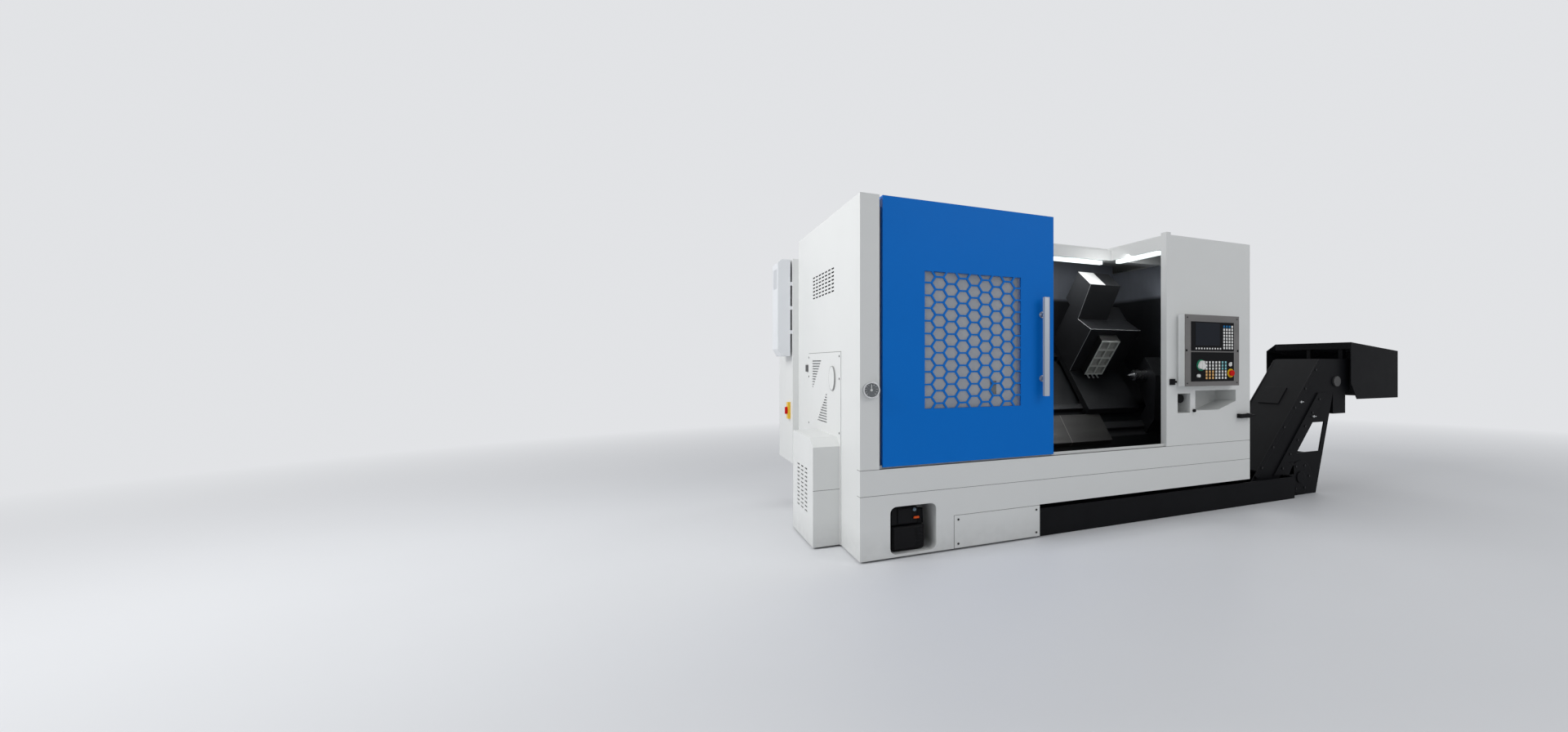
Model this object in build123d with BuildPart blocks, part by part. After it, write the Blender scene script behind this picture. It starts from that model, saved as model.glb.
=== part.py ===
"""CNC turning lathe with a sliding front door, a control pendant and a chip conveyor.

Millimetres, +Z up, +X along the spindle away from the headstock, +Y from front to back.
The origin is on the floor in the middle of the overall box.  Places named below are
measured from the casing's front left corner on the floor, and the helpers shift them.
"""
import os
from math import cos, radians, sin

from build123d import *

# Casing
casing_length = 2760.0
casing_depth = 1700.0
casing_height = 1900.0
sheet = 25.0                 # folded panel
front_depth = 60.0           # folded front panels
floor_gap = 10.0             # panels hang clear of the floor
inner_sheet = 10.0           # walls of the work space
overrun = 5.0                # how far a cut runs past the face it leaves

# Front of the casing
column_width = 99.0
ledge_height = 476.0         # sill below the door
seam_height = 341.0          # joint between the sill band and the lower panels
apron_bottom = 195.0
lower_left_width = 1040.0
right_width = 767.0          # from the jamb that the door closes on to the right side
right_drop = 17.0            # right part below the casing's top

# Roof
roof_sheet = 20.0
roof_left_drop = 50.0        # fixed left roof below the door's hood
beam_front = 650.0
beam_depth = 110.0
beam_height = 73.0
beam_ledge = 50.0            # track of the hood on the beam
side_beam_width = 60.0
lamp_height = 25.0
lamp_width = 38.0
lamp_length = 760.0
side_lamp_length = 500.0
lamp_end_gap = 45.0

# Left side: louvres, access panel, cover box
louvre_front = 588.0
louvre_drop = 455.0          # lowest row below the casing's top
louvre_rows = 7
louvre_columns = 7
louvre_pitch_y = 90.0
louvre_pitch_z = 22.0
slot_length = 62.0
slot_height = 9.0
access_front = 407.0
access_width = 920.0
access_top = 1091.0
access_sheet = 4.0
fan_rows = 11
fan_pitch = 16.6
fan_slot = 8.0
fan_long = 265.0
fan_short = 30.0
upper_fan_inset = 137.0      # from the access panel's back edge
upper_fan_top = 1038.0
lower_fan_inset = 351.0      # from the access panel's front edge
lower_fan_bottom = 668.0
panel_latch_width = 76.0
panel_latch_height = 46.0
panel_latch_bottom = 972.0
panel_latch_out = 8.0
panel_screw_radius = 6.0
panel_screw_head = 3.0
panel_screw_inset = 24.0
cap_radius = 72.0
cap_thickness = 8.0
box_out = 146.0
box_front = 426.0
box_width = 618.0
box_height = 610.0
box_wall = 6.0
box_chamfer_y = 86.0
box_chamfer_z = 48.0
vent_front = 590.0
vent_bottom = 177.0
vent_rows = 11
vent_columns = 3
vent_pitch_y = 118.0
vent_pitch_z = 24.0
vent_length = 72.0
vent_height = 10.0

# Lower front: service niche, pump unit, access cover
niche_left = 155.0
niche_width = 250.0
niche_bottom = 24.0
niche_height = 250.0
niche_corner = 34.0
niche_depth = 260.0
niche_wall = 8.0
pump_width = 176.0
pump_depth = 150.0
pump_height = 128.0
pump_front_gap = 34.0        # pump behind the front face
pump_motor_radius = 42.0
pump_motor_height = 78.0
pump_block_width = 66.0
pump_block_height = 70.0
pump_block_depth = 70.0
pump_gap = 12.0
cover_left = 508.0
cover_top = 190.0
cover_sheet = 3.0
cover_edge = 3.0
cover_screw_radius = 6.0
cover_screw_head = 3.0
cover_screw_inset = 22.0

# Door
door_gap = 17.0              # from the column when open
door_width = 1017.0
door_thickness = 45.0
door_floor_gap = 10.0
window_left = 225.0          # from the door's left edge
window_width = 575.0
window_bottom = 782.0
window_height = 741.0
grille_thickness = 10.0
hexagon_pitch_x = 68.0
hexagon_pitch_z = 68.5
hexagon_bar = 9.0
hexagon_columns = 9
hexagon_rows = 11
pane_thickness = 6.0
handle_left = 920.0          # from the door's left edge
handle_bottom = 837.0
handle_length = 577.0
handle_width = 38.0
handle_thickness = 22.0
handle_gap = 42.0            # room for the fingers
handle_post_radius = 12.0
handle_post_inset = 101.0
hood_sheet = 15.0
hood_lip = 12.0
hood_clearance = 3.0
rail_front = 18.0
rail_width = 8.0
rail_height = 18.0
rail_clearance = 0.3

# Fixed front panel behind the open door
fixed_right = 1133.0
switch_width = 34.0
switch_height = 76.0
switch_left = 750.0
switch_bottom = 850.0

# Right front panel: latch, pull bar, pockets
latch_inset = 25.0           # from the jamb
latch_bottom = 884.0
latch_size = 40.0
latch_out = 12.0
latch_tongue_width = 20.0
latch_tongue_height = 14.0
bar_inset = 16.0             # from the casing's right side
bar_bottom = 640.0
bar_width = 112.0
bar_height = 30.0
bar_out = 38.0
bar_leg = 18.0
bar_tip_radius = 6.0
bar_tip_out = 30.0           # past the casing's right side
jamb_cap_width = 36.0        # stop for the door's hood
pocket_inset = 250.0         # from the jamb
pocket_width = 377.0
pocket_bottom = 706.0
pocket_height = 136.0
pocket_slope_width = 164.0
pocket_slope_height = 56.0
pocket_depth = 150.0
pocket_wall = 4.0
port_inset = 95.0            # from the jamb
port_width = 111.0
port_bottom = 694.0
port_height = 130.0
port_depth = 90.0
port_plug_radius = 26.0
port_plug_length = 34.0

# Control pendant
pendant_inset = 88.0         # from the jamb
pendant_width = 489.0
pendant_bottom = 875.0
pendant_height = 478.0
pendant_depth = 65.0
pendant_seat = 0.3           # between the pendant and its mounting plate
mount_thickness = 15.0
mount_inset = 12.0
bezel_thickness = 4.0
bezel_screw_radius = 5.0
bezel_screw_head = 2.0
bezel_screw_inset = 20.0
unit_width = 384.0
unit_height = 196.0
unit_gap = 8.0
unit_bottom = 32.0           # from the pendant's bottom edge
unit_thickness = 3.0
screen_width = 216.0
screen_height = 154.0
screen_inset = 36.0
screen_proud = 1.0
key_proud = 2.0
data_key_columns = 4
data_key_rows = 8
data_key_pitch_x = 25.0
data_key_pitch_z = 21.0
data_key_size = 15.0
soft_key_count = 10
soft_key_pitch = 24.0
soft_key_size = 11.0
mode_key_columns = 7
mode_key_rows = 6
mode_key_pitch_x = 29.0
mode_key_pitch_z = 21.0
mode_key_size = 15.0
override_radius = 33.0
override_height = 20.0
override_grip_width = 16.0
override_grip_height = 12.0
override_x = 84.0            # from the unit's left edge
override_z = 108.0           # from the unit's bottom edge
mode_knob_radius = 11.0
mode_knob_height = 16.0
mode_knob_x = 56.0
mode_knob_z = 38.0
stop_radius = 20.0
stop_height = 16.0
stop_collar_radius = 30.0
stop_collar_height = 3.0
stop_stem_radius = 10.0
stop_travel = 5.0
stop_x = 352.0
stop_z = 54.0
knob_shaft_radius = 4.0
knob_clearance = 0.05
knob_gap = 0.5
grip_share = 0.92            # of a knob's radius
hinge_pin_radius = 5.0
hinge_barrel_radius = 9.0
hinge_clearance = 0.05
hinge_lug = 24.0
hinge_gap = 0.5

# Pressure gauge
gauge_x = 53.0
gauge_z = 889.0
gauge_radius = 42.0
gauge_depth = 26.0
gauge_rim = 6.0
gauge_dish = 8.0
needle_length = 28.0
needle_width = 4.0
needle_thickness = 1.5
needle_hub_radius = 6.0
needle_gap = 0.5

# Spindle and chuck
axis_y = 600.0
axis_share = 94 / 190         # of the casing's height
head_left = 340.0
head_right = 990.0
head_front = 400.0
head_back = 900.0
head_rise = 300.0            # above the spindle's axis
spindle_radius = 82.0
spindle_clearance = 0.05
spindle_left = 150.0
spindle_bore = 38.0
nose_radius = 110.0
nose_thickness = 20.0
nose_gap = 10.0
pulley_radius = 120.0
pulley_left = 215.0
pulley_width = 85.0
cylinder_left = 70.0
cylinder_radius = 95.0
wall_hole_clearance = 8.0
chuck_radius = 127.0
chuck_width = 100.0
jaw_count = 3
jaw_slot_width = 30.0
jaw_slot_depth = 20.0
jaw_clearance = 0.05
jaw_inner = 48.0
jaw_length = 70.0
jaw_height = 44.0
jaw_width = 40.0
jaw_face_gap = 0.3

# Slant bed
slant = 45.0                 # degrees from level
slant_drop = 300.0           # guide plane below the spindle axis, square to the slope
bed_left = 120.0
bed_end_gap = 310.0          # from the casing's right side
bed_front = 580.0
bed_back_gap = 140.0         # from the casing's back
bed_floor = 60.0
bed_base_drop = 560.0        # below the spindle's axis
bed_head_front = 430.0
bed_head_drop = 300.0        # below the spindle's axis
slope_top = 745.0            # along the slope, from the spindle axis
foot_radius = 60.0
foot_pad = 24.0
foot_stud_radius = 18.0
foot_inset_x = 150.0
foot_inset_y = 90.0
guide_width = 44.0
guide_height = 40.0
guide_end_gap = 10.0
lower_guide = -60.0
upper_guide = 480.0
tail_way = -245.0
tail_way_width = 60.0
tail_way_height = 30.0
way_clearance = 0.1

# Carriage
saddle_inset = 198.0         # left of the jamb
saddle_width = 450.0
saddle_low = -140.0
saddle_high = 600.0
saddle_thickness = 54.0
saddle_skirt = 30.0
slide_low = 252.0
slide_top = 222.0            # front edge
slide_shoulder = 152.0       # at the foot of the motor cover
motor_cover_low = 441.0
motor_cover_lean = 45.0      # its upper front edge, up the slope from its foot
motor_cover_top = 452.0
motor_cover_back = 680.0
motor_cover_back_top = 409.0
motor_cover_width = 266.0
block_inset = 90.0           # from the saddle's left end
block_width = 160.0
block_thickness = 72.0
block_low = -175.0
block_height = 346.0
block_columns = 2
block_rows = 4
block_rib = 11.0
block_pocket_depth = 26.0
pipe_count = 3
pipe_radius = 5.0
pipe_bend = 20.0
pipe_sweep = 130.0

# Tailstock
tail_end_gap = 10.0          # from the bed's right end
tail_width = 175.0
tail_base_low = -315.0
tail_base_high = -178.0
tail_neck_high = -60.0
tail_body_radius = 95.0
quill_radius = 40.0
quill_clearance = 0.05
quill_out = 105.0
quill_back_gap = 20.0
centre_length = 62.0

# Work space
back_wall = 1300.0
back_wall_rise = 286.0       # above the spindle's axis
left_wall_bottom = 400.0
left_wall_back = 1310.0
right_wall_bottom = 300.0
guard_low = -400.0
guard_high = -150.0
guard_rise = 40.0
guard_sheet = 12.0
guard_lap = 103.0            # past the saddle's left end
guard_lip = 30.0
guard_rib = 20.0
guard_rib_gap = 10.0         # from the tailstock's way
guard_rib_length = 40.0

# Electrical cabinet and its cooler
cabinet_out = 40.0
cabinet_right = 1500.0
cabinet_depth = 590.0
cabinet_bottom = 312.0
cabinet_top = 1775.0
cooler_front_gap = 22.0
cooler_depth = 245.0
cooler_out = 83.0
cooler_gap = 12.0
cooler_bottom = 1080.0
cooler_height = 690.0
cooler_chamfer = 26.0
cooler_foot = 50.0
bracket_height = 26.0
bracket_width = 30.0
bracket_count = 3
switch_plate_y = 122.0       # from the casing's back
switch_plate_z = 687.0
switch_plate_width = 64.0
switch_plate_height = 120.0
switch_plate_sheet = 18.0
main_knob_radius = 27.0
main_knob_height = 6.0
main_grip_width = 12.0
main_grip_height = 9.0

# Chip conveyor: lengths along it run from the casing's right side
tank_out = 500.0
tank_front = 25.0
tank_depth = 535.0
tank_height = 165.0
tank_wall = 10.0
trough_front = 100.0
trough_depth = 450.0
trough_wall = 8.0
trough_low_start = 5.0
trough_low_out = 300.0
trough_bend_top_out = 863.0
trough_bend_low_out = 940.0
trough_out = 1250.0
trough_top = 1065.0
trough_head_bottom = 795.0
inlet_length = 175.0         # open top where the chips drop in
inlet_top = 230.0
flange_height = 95.0
flange_out = 14.0
leg_foot_start = 570.0
leg_foot_out = 830.0
leg_knee = 100.0
leg_top_out = 1040.0
leg_thickness = 12.0
leg_tie_radius = 16.0
leg_tie_out = 800.0
leg_tie_z = 300.0
leg_rib = 46.0
leg_window_low = 330.0
leg_window_high = 560.0
hatch_width = 214.0
hatch_length = 163.0
hatch_back_shift = 35.0      # from the trough's middle
hatch_sheet = 6.0
hatch_share = 0.72           # how far up the incline the hatch sits
shaft_out = 1074.0
shaft_z = 883.0
shaft_radius = 28.0
shaft_clearance = 0.05
shaft_overhang = 18.0
shaft_collar_radius = 42.0
sprocket_radius = 74.0
sprocket_width = 16.0
sprocket_inset = 60.0
gear_out = 1040.0
gear_width = 155.0
gear_depth = 190.0
gear_height = 175.0
gear_motor_radius = 72.0
gear_motor_length = 220.0
hood_start = 1190.0
hood_out = 1820.0
hood_front = 40.0
hood_depth = 920.0
hood_bottom = 735.0
hood_top_left = 1203.0
hood_top_right = 1137.0
hood_wall = 8.0
hood_chamfer_x = 80.0
hood_chamfer_z = 130.0
hood_strip = 55.0
hood_post = 40.0
hood_post_inset = 40.0

# Worked out from the sizes above
axis_z = casing_height * axis_share
head_top = axis_z + head_rise
bed_base_top = axis_z - bed_base_drop
bed_head_top = axis_z - bed_head_drop
back_wall_bottom = axis_z + back_wall_rise
opening_right = casing_length - right_width
right_top = casing_height - right_drop
louvre_bottom = casing_height - louvre_drop
upper_fan_back = access_front + access_width - upper_fan_inset
lower_fan_front = access_front + lower_fan_inset
latch_left = opening_right + latch_inset
bar_left = casing_length - bar_inset - bar_width
pocket_left = opening_right + pocket_inset
port_left = opening_right + port_inset
pendant_left = opening_right + pendant_inset
bed_right = casing_length - bed_end_gap
bed_back = casing_depth - bed_back_gap
saddle_left = opening_right - saddle_inset
block_left = saddle_left + block_inset
guard_right = saddle_left + guard_lap
tail_left = bed_right - tail_end_gap - tail_width
cabinet_back = casing_depth + cabinet_depth
tank_right = casing_length + tank_out
trough_low_left = casing_length + trough_low_start
trough_low_right = casing_length + trough_low_out
trough_bend_top = casing_length + trough_bend_top_out
trough_bend_low = casing_length + trough_bend_low_out
trough_end = casing_length + trough_out
leg_foot_left = casing_length + leg_foot_start
leg_foot_right = casing_length + leg_foot_out
leg_top_right = casing_length + leg_top_out
leg_tie_x = casing_length + leg_tie_out
shaft_x = casing_length + shaft_out
gear_left = casing_length + gear_out
hood_left = casing_length + hood_start
hood_right = casing_length + hood_out
front_reach = mount_thickness + pendant_seat + pendant_depth + bezel_thickness + unit_thickness
front_reach += knob_gap + override_height + override_grip_height
origin_x = (hood_right - box_out) / 2
origin_y = (cabinet_back - front_reach) / 2
door_left = column_width + door_gap
door_right = door_left + door_width
door_bottom = ledge_height + door_floor_gap
hood_under = casing_height - hood_sheet
beam_top = right_top - roof_sheet
beam_bottom = beam_top - beam_height
roof_left_top = casing_height - roof_left_drop
slope_along = (0, cos(radians(slant)), sin(radians(slant)))

os.makedirs("parts", exist_ok=True)


# Helpers
def save(piece, name):
    """Label a finished piece and write it."""
    piece.part.label = name
    export_step(piece.part, f"parts/{name}.step")


def slab(x0, x1, y0, y1, z0, z1, mode=Mode.ADD):
    """A box between two corners."""
    with Locations(((x0 + x1) / 2 - origin_x, (y0 + y1) / 2 - origin_y, (z0 + z1) / 2)):
        Box(x1 - x0, y1 - y0, z1 - z0, mode=mode)


def rod(start, direction, length, radius, mode=Mode.ADD):
    """A round bar from a start point along a direction."""
    x, y, z = start
    base = Plane(origin=(x - origin_x, y - origin_y, z), z_dir=direction)
    with BuildSketch(base) as disc:
        Circle(radius)
    extrude(disc.sketch, amount=length, mode=mode)


def pull_x(points, x0, x1, mode=Mode.ADD):
    """An outline in (y, z), pulled along X."""
    with BuildSketch(Plane.YZ.offset(x0 - origin_x)) as outline:
        Polygon(*[(y - origin_y, z) for y, z in points], align=None)
    extrude(outline.sketch, amount=x1 - x0, mode=mode)


def pull_y(points, y0, y1, mode=Mode.ADD):
    """An outline in (x, z), pulled along Y."""
    with BuildSketch(Plane.XZ.offset(origin_y - y0)) as outline:
        Polygon(*[(x - origin_x, z) for x, z in points], align=None)
    extrude(outline.sketch, amount=y0 - y1, mode=mode)


def slope_plane(x):
    """Across the slant bed: first axis up the slope, second square off it, from the spindle axis."""
    return Plane(origin=(x - origin_x, axis_y - origin_y, axis_z), x_dir=slope_along, z_dir=(1, 0, 0))


def pull_slope(points, x0, x1, mode=Mode.ADD):
    """An outline on the slant bed's section, pulled along X."""
    with BuildSketch(slope_plane(x0)) as outline:
        Polygon(*points, align=None)
    extrude(outline.sketch, amount=x1 - x0, mode=mode)


def slope_slab(x0, x1, u0, u1, v0, v1, mode=Mode.ADD):
    """A box that stands square on the slope."""
    pull_slope([(u0, v0), (u1, v0), (u1, v1), (u0, v1)], x0, x1, mode)


def level(u, v):
    """Depth and height of a point on the slant bed's section."""
    y = axis_y + u * cos(radians(slant)) - v * sin(radians(slant))
    z = axis_z + u * sin(radians(slant)) + v * cos(radians(slant))
    return y, z


# Bed and feet
with BuildPart() as bed:
    slope_high = level(slope_top, -slant_drop)
    bed_edge = (bed_front - axis_y - slant_drop * sin(radians(slant))) / cos(radians(slant))
    slope_foot = level(bed_edge, -slant_drop)
    section = [(bed_front, bed_floor), (bed_back, bed_floor), (bed_back, slope_high[1]), slope_high,
               slope_foot]
    slab(bed_left, bed_right, bed_front, bed_back, bed_floor, bed_base_top)
    slab(bed_left, head_right, bed_head_front, bed_back, bed_floor, bed_head_top)
    pull_x(section, head_right + inner_sheet, bed_right)
    tail_side = tail_way_width / 2
    slope_slab(head_right + inner_sheet, bed_right, tail_way - tail_side, tail_way + tail_side,
               -slant_drop, tail_way_height - slant_drop)
save(bed, "bed")

with BuildPart() as levelling_feet:
    foot_xs = (bed_left + foot_inset_x, (bed_left + bed_right) / 2, bed_right - foot_inset_x)
    for foot_x in foot_xs:
        for foot_y in (bed_front + foot_inset_y, bed_back - foot_inset_y):
            rod((foot_x, foot_y, 0), (0, 0, 1), foot_pad, foot_radius)
            rod((foot_x, foot_y, 0), (0, 0, 1), bed_floor, foot_stud_radius)
save(levelling_feet, "levelling_feet")

# Left side
with BuildPart() as left_panel:
    slab(0, sheet, front_depth, casing_depth, floor_gap, casing_height)
    for row in range(louvre_rows):
        for column in range(louvre_columns):
            slot_y = louvre_front + column * louvre_pitch_y
            slot_z = louvre_bottom + row * louvre_pitch_z
            slab(-overrun, sheet + overrun, slot_y, slot_y + slot_length, slot_z, slot_z + slot_height,
                 Mode.SUBTRACT)
    fan_height = (fan_rows - 1) * fan_pitch + fan_slot
    upper_fan_low = upper_fan_top + fan_slot - fan_height
    upper_fan_front = upper_fan_back - fan_long
    fan_corners = ((upper_fan_front, upper_fan_low), (lower_fan_front, lower_fan_bottom))
    for fan_front, fan_low in fan_corners:
        slab(0, sheet, fan_front, fan_front + fan_long, fan_low, fan_low + fan_height, Mode.SUBTRACT)
    latch_y = access_front + access_width
    slab(-panel_latch_out, 0, latch_y, latch_y + panel_latch_width, panel_latch_bottom,
         panel_latch_bottom + panel_latch_height)
save(left_panel, "left_panel")

with BuildPart() as access_panel:
    slab(-access_sheet, 0, access_front, access_front + access_width, floor_gap, access_top)
    for row in range(fan_rows):
        reach = fan_short + (fan_long - fan_short) * row / (fan_rows - 1)
        upper_z = upper_fan_top - (fan_rows - 1 - row) * fan_pitch
        lower_z = lower_fan_bottom + (fan_rows - 1 - row) * fan_pitch
        slab(-access_sheet, 0, upper_fan_back - reach, upper_fan_back, upper_z, upper_z + fan_slot,
             Mode.SUBTRACT)
        slab(-access_sheet, 0, lower_fan_front, lower_fan_front + reach, lower_z, lower_z + fan_slot,
             Mode.SUBTRACT)
    for screw_z in (box_height + panel_screw_inset, axis_z, access_top - panel_screw_inset):
        for screw_y in (access_front + panel_screw_inset, access_front + access_width - panel_screw_inset):
            rod((-access_sheet, screw_y, screw_z), (-1, 0, 0), panel_screw_head, panel_screw_radius)
    rod((-access_sheet, axis_y, axis_z), (-1, 0, 0), cap_thickness, cap_radius)
save(access_panel, "access_panel")

box_back = box_front + box_width


def box_outline(inset):
    """The cover box seen from the left, set in by a wall."""
    top = box_height - inset
    bottom = floor_gap + inset
    slope_end = box_front + box_chamfer_y
    return [(box_front + inset, bottom), (box_back - inset, bottom), (box_back - inset, top),
            (slope_end, top), (box_front + inset, box_height - box_chamfer_z)]


with BuildPart() as side_box:
    pull_x(box_outline(0), -box_out, -access_sheet)
    pull_x(box_outline(box_wall), box_wall - box_out, -access_sheet, Mode.SUBTRACT)
    for row in range(vent_rows):
        for column in range(vent_columns):
            vent_y = vent_front + column * vent_pitch_y
            vent_z = vent_bottom + row * vent_pitch_z
            slab(-box_out, box_wall - box_out, vent_y, vent_y + vent_length, vent_z, vent_z + vent_height,
                 Mode.SUBTRACT)
save(side_box, "side_box")

# Front of the casing
with BuildPart() as front_column:
    slab(0, column_width, 0, front_depth, ledge_height, casing_height)
save(front_column, "front_column")

with BuildPart() as apron_band:
    slab(0, casing_length, 0, front_depth, seam_height, ledge_height)
    slab(column_width, opening_right, rail_front, rail_front + rail_width, ledge_height,
         ledge_height + rail_height)
save(apron_band, "apron_band")

with BuildPart() as lower_front:
    niche_right = niche_left + niche_width
    niche_top = niche_bottom + niche_height
    slab(0, lower_left_width, 0, front_depth, floor_gap, seam_height)
    slab(niche_left - niche_wall, niche_right + niche_wall, front_depth, niche_depth,
         niche_bottom - niche_wall, niche_top + niche_wall)
    with BuildSketch(Plane.XZ.offset(origin_y)):
        with Locations((niche_left + niche_width / 2 - origin_x, niche_bottom + niche_height / 2)):
            RectangleRounded(niche_width, niche_height, niche_corner)
    extrude(amount=niche_wall - niche_depth, mode=Mode.SUBTRACT)
save(lower_front, "lower_front")

with BuildPart() as pump_unit:
    pump_left = niche_left + (niche_width - pump_width) / 2
    pump_right = pump_left + pump_width
    pump_back = pump_front_gap + pump_depth
    pump_top = niche_bottom + pump_height
    slab(pump_left, pump_right, pump_front_gap, pump_back, niche_bottom, pump_top)
    motor_x = pump_right - pump_motor_radius - pump_gap
    motor_y = pump_back - pump_motor_radius - pump_gap
    rod((motor_x, motor_y, pump_top), (0, 0, 1), pump_motor_height, pump_motor_radius)
    slab(pump_left + pump_gap, pump_left + pump_gap + pump_block_width, pump_front_gap + pump_gap,
         pump_front_gap + pump_gap + pump_block_depth, pump_top, pump_top + pump_block_height)
save(pump_unit, "pump_unit")

with BuildPart() as access_cover:
    cover_right = lower_left_width - cover_edge
    slab(cover_left, cover_right, -cover_sheet, 0, floor_gap + cover_edge, cover_top)
    for screw_x in (cover_left + cover_screw_inset, cover_right - cover_screw_inset):
        for screw_z in (floor_gap + cover_edge + cover_screw_inset, cover_top - cover_screw_inset):
            rod((screw_x, -cover_sheet, screw_z), (0, -1, 0), cover_screw_head, cover_screw_radius)
save(access_cover, "access_cover")

with BuildPart() as lower_apron:
    slab(lower_left_width, casing_length, 0, front_depth, apron_bottom, seam_height)
save(lower_apron, "lower_apron")

with BuildPart() as fixed_front:
    slab(sheet, fixed_right, front_depth, front_depth + sheet, seam_height, roof_left_top - roof_sheet)
    slab(switch_left, switch_left + switch_width, front_depth - switch_width / 4, front_depth,
         switch_bottom, switch_bottom + switch_height)
save(fixed_front, "fixed_front")

with BuildPart() as right_front:
    pocket_right = pocket_left + pocket_width
    pocket_top = pocket_bottom + pocket_height
    port_right = port_left + port_width
    port_top = port_bottom + port_height
    pocket_outline = [(pocket_left, pocket_bottom), (pocket_right - pocket_slope_width, pocket_bottom),
                      (pocket_right, pocket_bottom + pocket_slope_height), (pocket_right, pocket_top),
                      (pocket_left, pocket_top)]
    mount_right = pendant_left + pendant_width - mount_inset
    pin_x = pendant_left + pendant_width + hinge_barrel_radius + hinge_gap
    pin_y = -mount_thickness - hinge_barrel_radius
    mount_bottom = pendant_bottom + mount_inset
    mount_top = pendant_bottom + pendant_height - mount_inset
    slab(opening_right, casing_length, 0, front_depth, ledge_height, right_top)
    slab(opening_right, opening_right + jamb_cap_width, 0, front_depth, right_top, casing_height)
    pull_y(pocket_outline, 0, front_depth, Mode.SUBTRACT)
    slab(port_left, port_right, 0, front_depth, port_bottom, port_top, Mode.SUBTRACT)
    slab(pendant_left + mount_inset, mount_right, -mount_thickness, 0, mount_bottom, mount_top)
    for lug_z in (mount_bottom, mount_top - hinge_lug):
        slab(pin_x - hinge_pin_radius, pin_x + hinge_pin_radius, pin_y, 0, lug_z, lug_z + hinge_lug)
    rod((pin_x, pin_y, mount_bottom), (0, 0, 1), mount_top - mount_bottom, hinge_pin_radius)
save(right_front, "right_front")

with BuildPart() as front_pockets:
    wall = pocket_wall
    pocket_back = front_depth + pocket_depth
    port_back = front_depth + port_depth
    slab(port_left - wall, pocket_right + wall, front_depth, front_depth + wall, port_bottom - wall,
         pocket_top + wall)
    slab(pocket_left - wall, pocket_right + wall, front_depth, pocket_back + wall, pocket_bottom - wall,
         pocket_top + wall)
    slab(port_left - wall, port_right + wall, front_depth, port_back + wall, port_bottom - wall,
         port_top + wall)
    pull_y(pocket_outline, front_depth, pocket_back, Mode.SUBTRACT)
    slab(port_left, port_right, front_depth, port_back, port_bottom, port_top, Mode.SUBTRACT)
    rod((port_left + port_width / 2, port_back, port_bottom + port_height / 2), (0, -1, 0), port_plug_length,
        port_plug_radius)
save(front_pockets, "front_pockets")

with BuildPart() as door_latch:
    latch_right = latch_left + latch_size
    tongue_low = latch_bottom + (latch_size - latch_tongue_height) / 2
    slab(latch_left, latch_right, -latch_out, 0, latch_bottom, latch_bottom + latch_size)
    slab(latch_right, latch_right + latch_tongue_width, -latch_out / 2, 0, tongue_low,
         tongue_low + latch_tongue_height)
save(door_latch, "door_latch")

with BuildPart() as pull_bar:
    bar_right = bar_left + bar_width
    bar_top = bar_bottom + bar_height
    slab(bar_left, bar_right, -bar_out, bar_leg / 2 - bar_out, bar_bottom, bar_top)
    slab(bar_left, bar_left + bar_leg, -bar_out, 0, bar_bottom, bar_top)
    slab(bar_right - bar_leg, bar_right, -bar_out, 0, bar_bottom, bar_top)
    tip_start = (bar_right, -bar_out / 2, (bar_bottom + bar_top) / 2)
    rod(tip_start, (1, 0, 0), casing_length + bar_tip_out - bar_right, bar_tip_radius)
save(pull_bar, "pull_bar")

# Roof, beams, back and right side
with BuildPart() as roof_left:
    slab(sheet, fixed_right, front_depth, beam_front, roof_left_top - roof_sheet, roof_left_top)
save(roof_left, "roof_left")

with BuildPart() as back_beam:
    lamp_right = opening_right - lamp_end_gap
    lamp_y = beam_front + beam_ledge
    slab(sheet, casing_length - sheet, beam_front, beam_front + beam_depth, beam_bottom, beam_top)
    slab(lamp_right - lamp_length, lamp_right, lamp_y, lamp_y + lamp_width, beam_bottom - lamp_height,
         beam_bottom)
save(back_beam, "back_beam")

with BuildPart() as side_beam:
    lamp_x = opening_right + (side_beam_width - lamp_width) / 2
    lamp_back = beam_front - lamp_end_gap
    slab(opening_right, opening_right + side_beam_width, front_depth, beam_front, beam_bottom, beam_top)
    slab(lamp_x, lamp_x + lamp_width, lamp_back - side_lamp_length, lamp_back, beam_bottom - lamp_height,
         beam_bottom)
save(side_beam, "side_beam")

with BuildPart() as roof_right:
    slab(opening_right, casing_length - sheet, front_depth, beam_front + beam_ledge, beam_top, right_top)
save(roof_right, "roof_right")

with BuildPart() as roof_back:
    slab(sheet, casing_length - sheet, beam_front + beam_ledge, casing_depth - sheet, beam_top, right_top)
save(roof_back, "roof_back")

with BuildPart() as back_panel:
    slab(sheet, casing_length - sheet, casing_depth - sheet, casing_depth, floor_gap, right_top)
save(back_panel, "back_panel")

with BuildPart() as right_panel:
    slab(casing_length - sheet, casing_length, front_depth, casing_depth, apron_bottom, right_top)
save(right_panel, "right_panel")

# Work space
with BuildPart() as inner_left_wall:
    wall_right = head_right + inner_sheet
    slab(head_right, wall_right, front_depth + sheet, left_wall_back, left_wall_bottom, beam_bottom)
    slab(head_right, wall_right, front_depth + sheet, beam_front, beam_bottom, roof_left_top - roof_sheet)
    slab(head_right, wall_right, beam_front + beam_depth, left_wall_back, beam_bottom, beam_top)
    rod((head_right, axis_y, axis_z), (1, 0, 0), inner_sheet, spindle_radius + wall_hole_clearance,
        Mode.SUBTRACT)
save(inner_left_wall, "inner_left_wall")

with BuildPart() as inner_back_wall:
    slab(head_right + inner_sheet, bed_right, back_wall, back_wall + inner_sheet, back_wall_bottom, beam_top)
save(inner_back_wall, "inner_back_wall")

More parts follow.
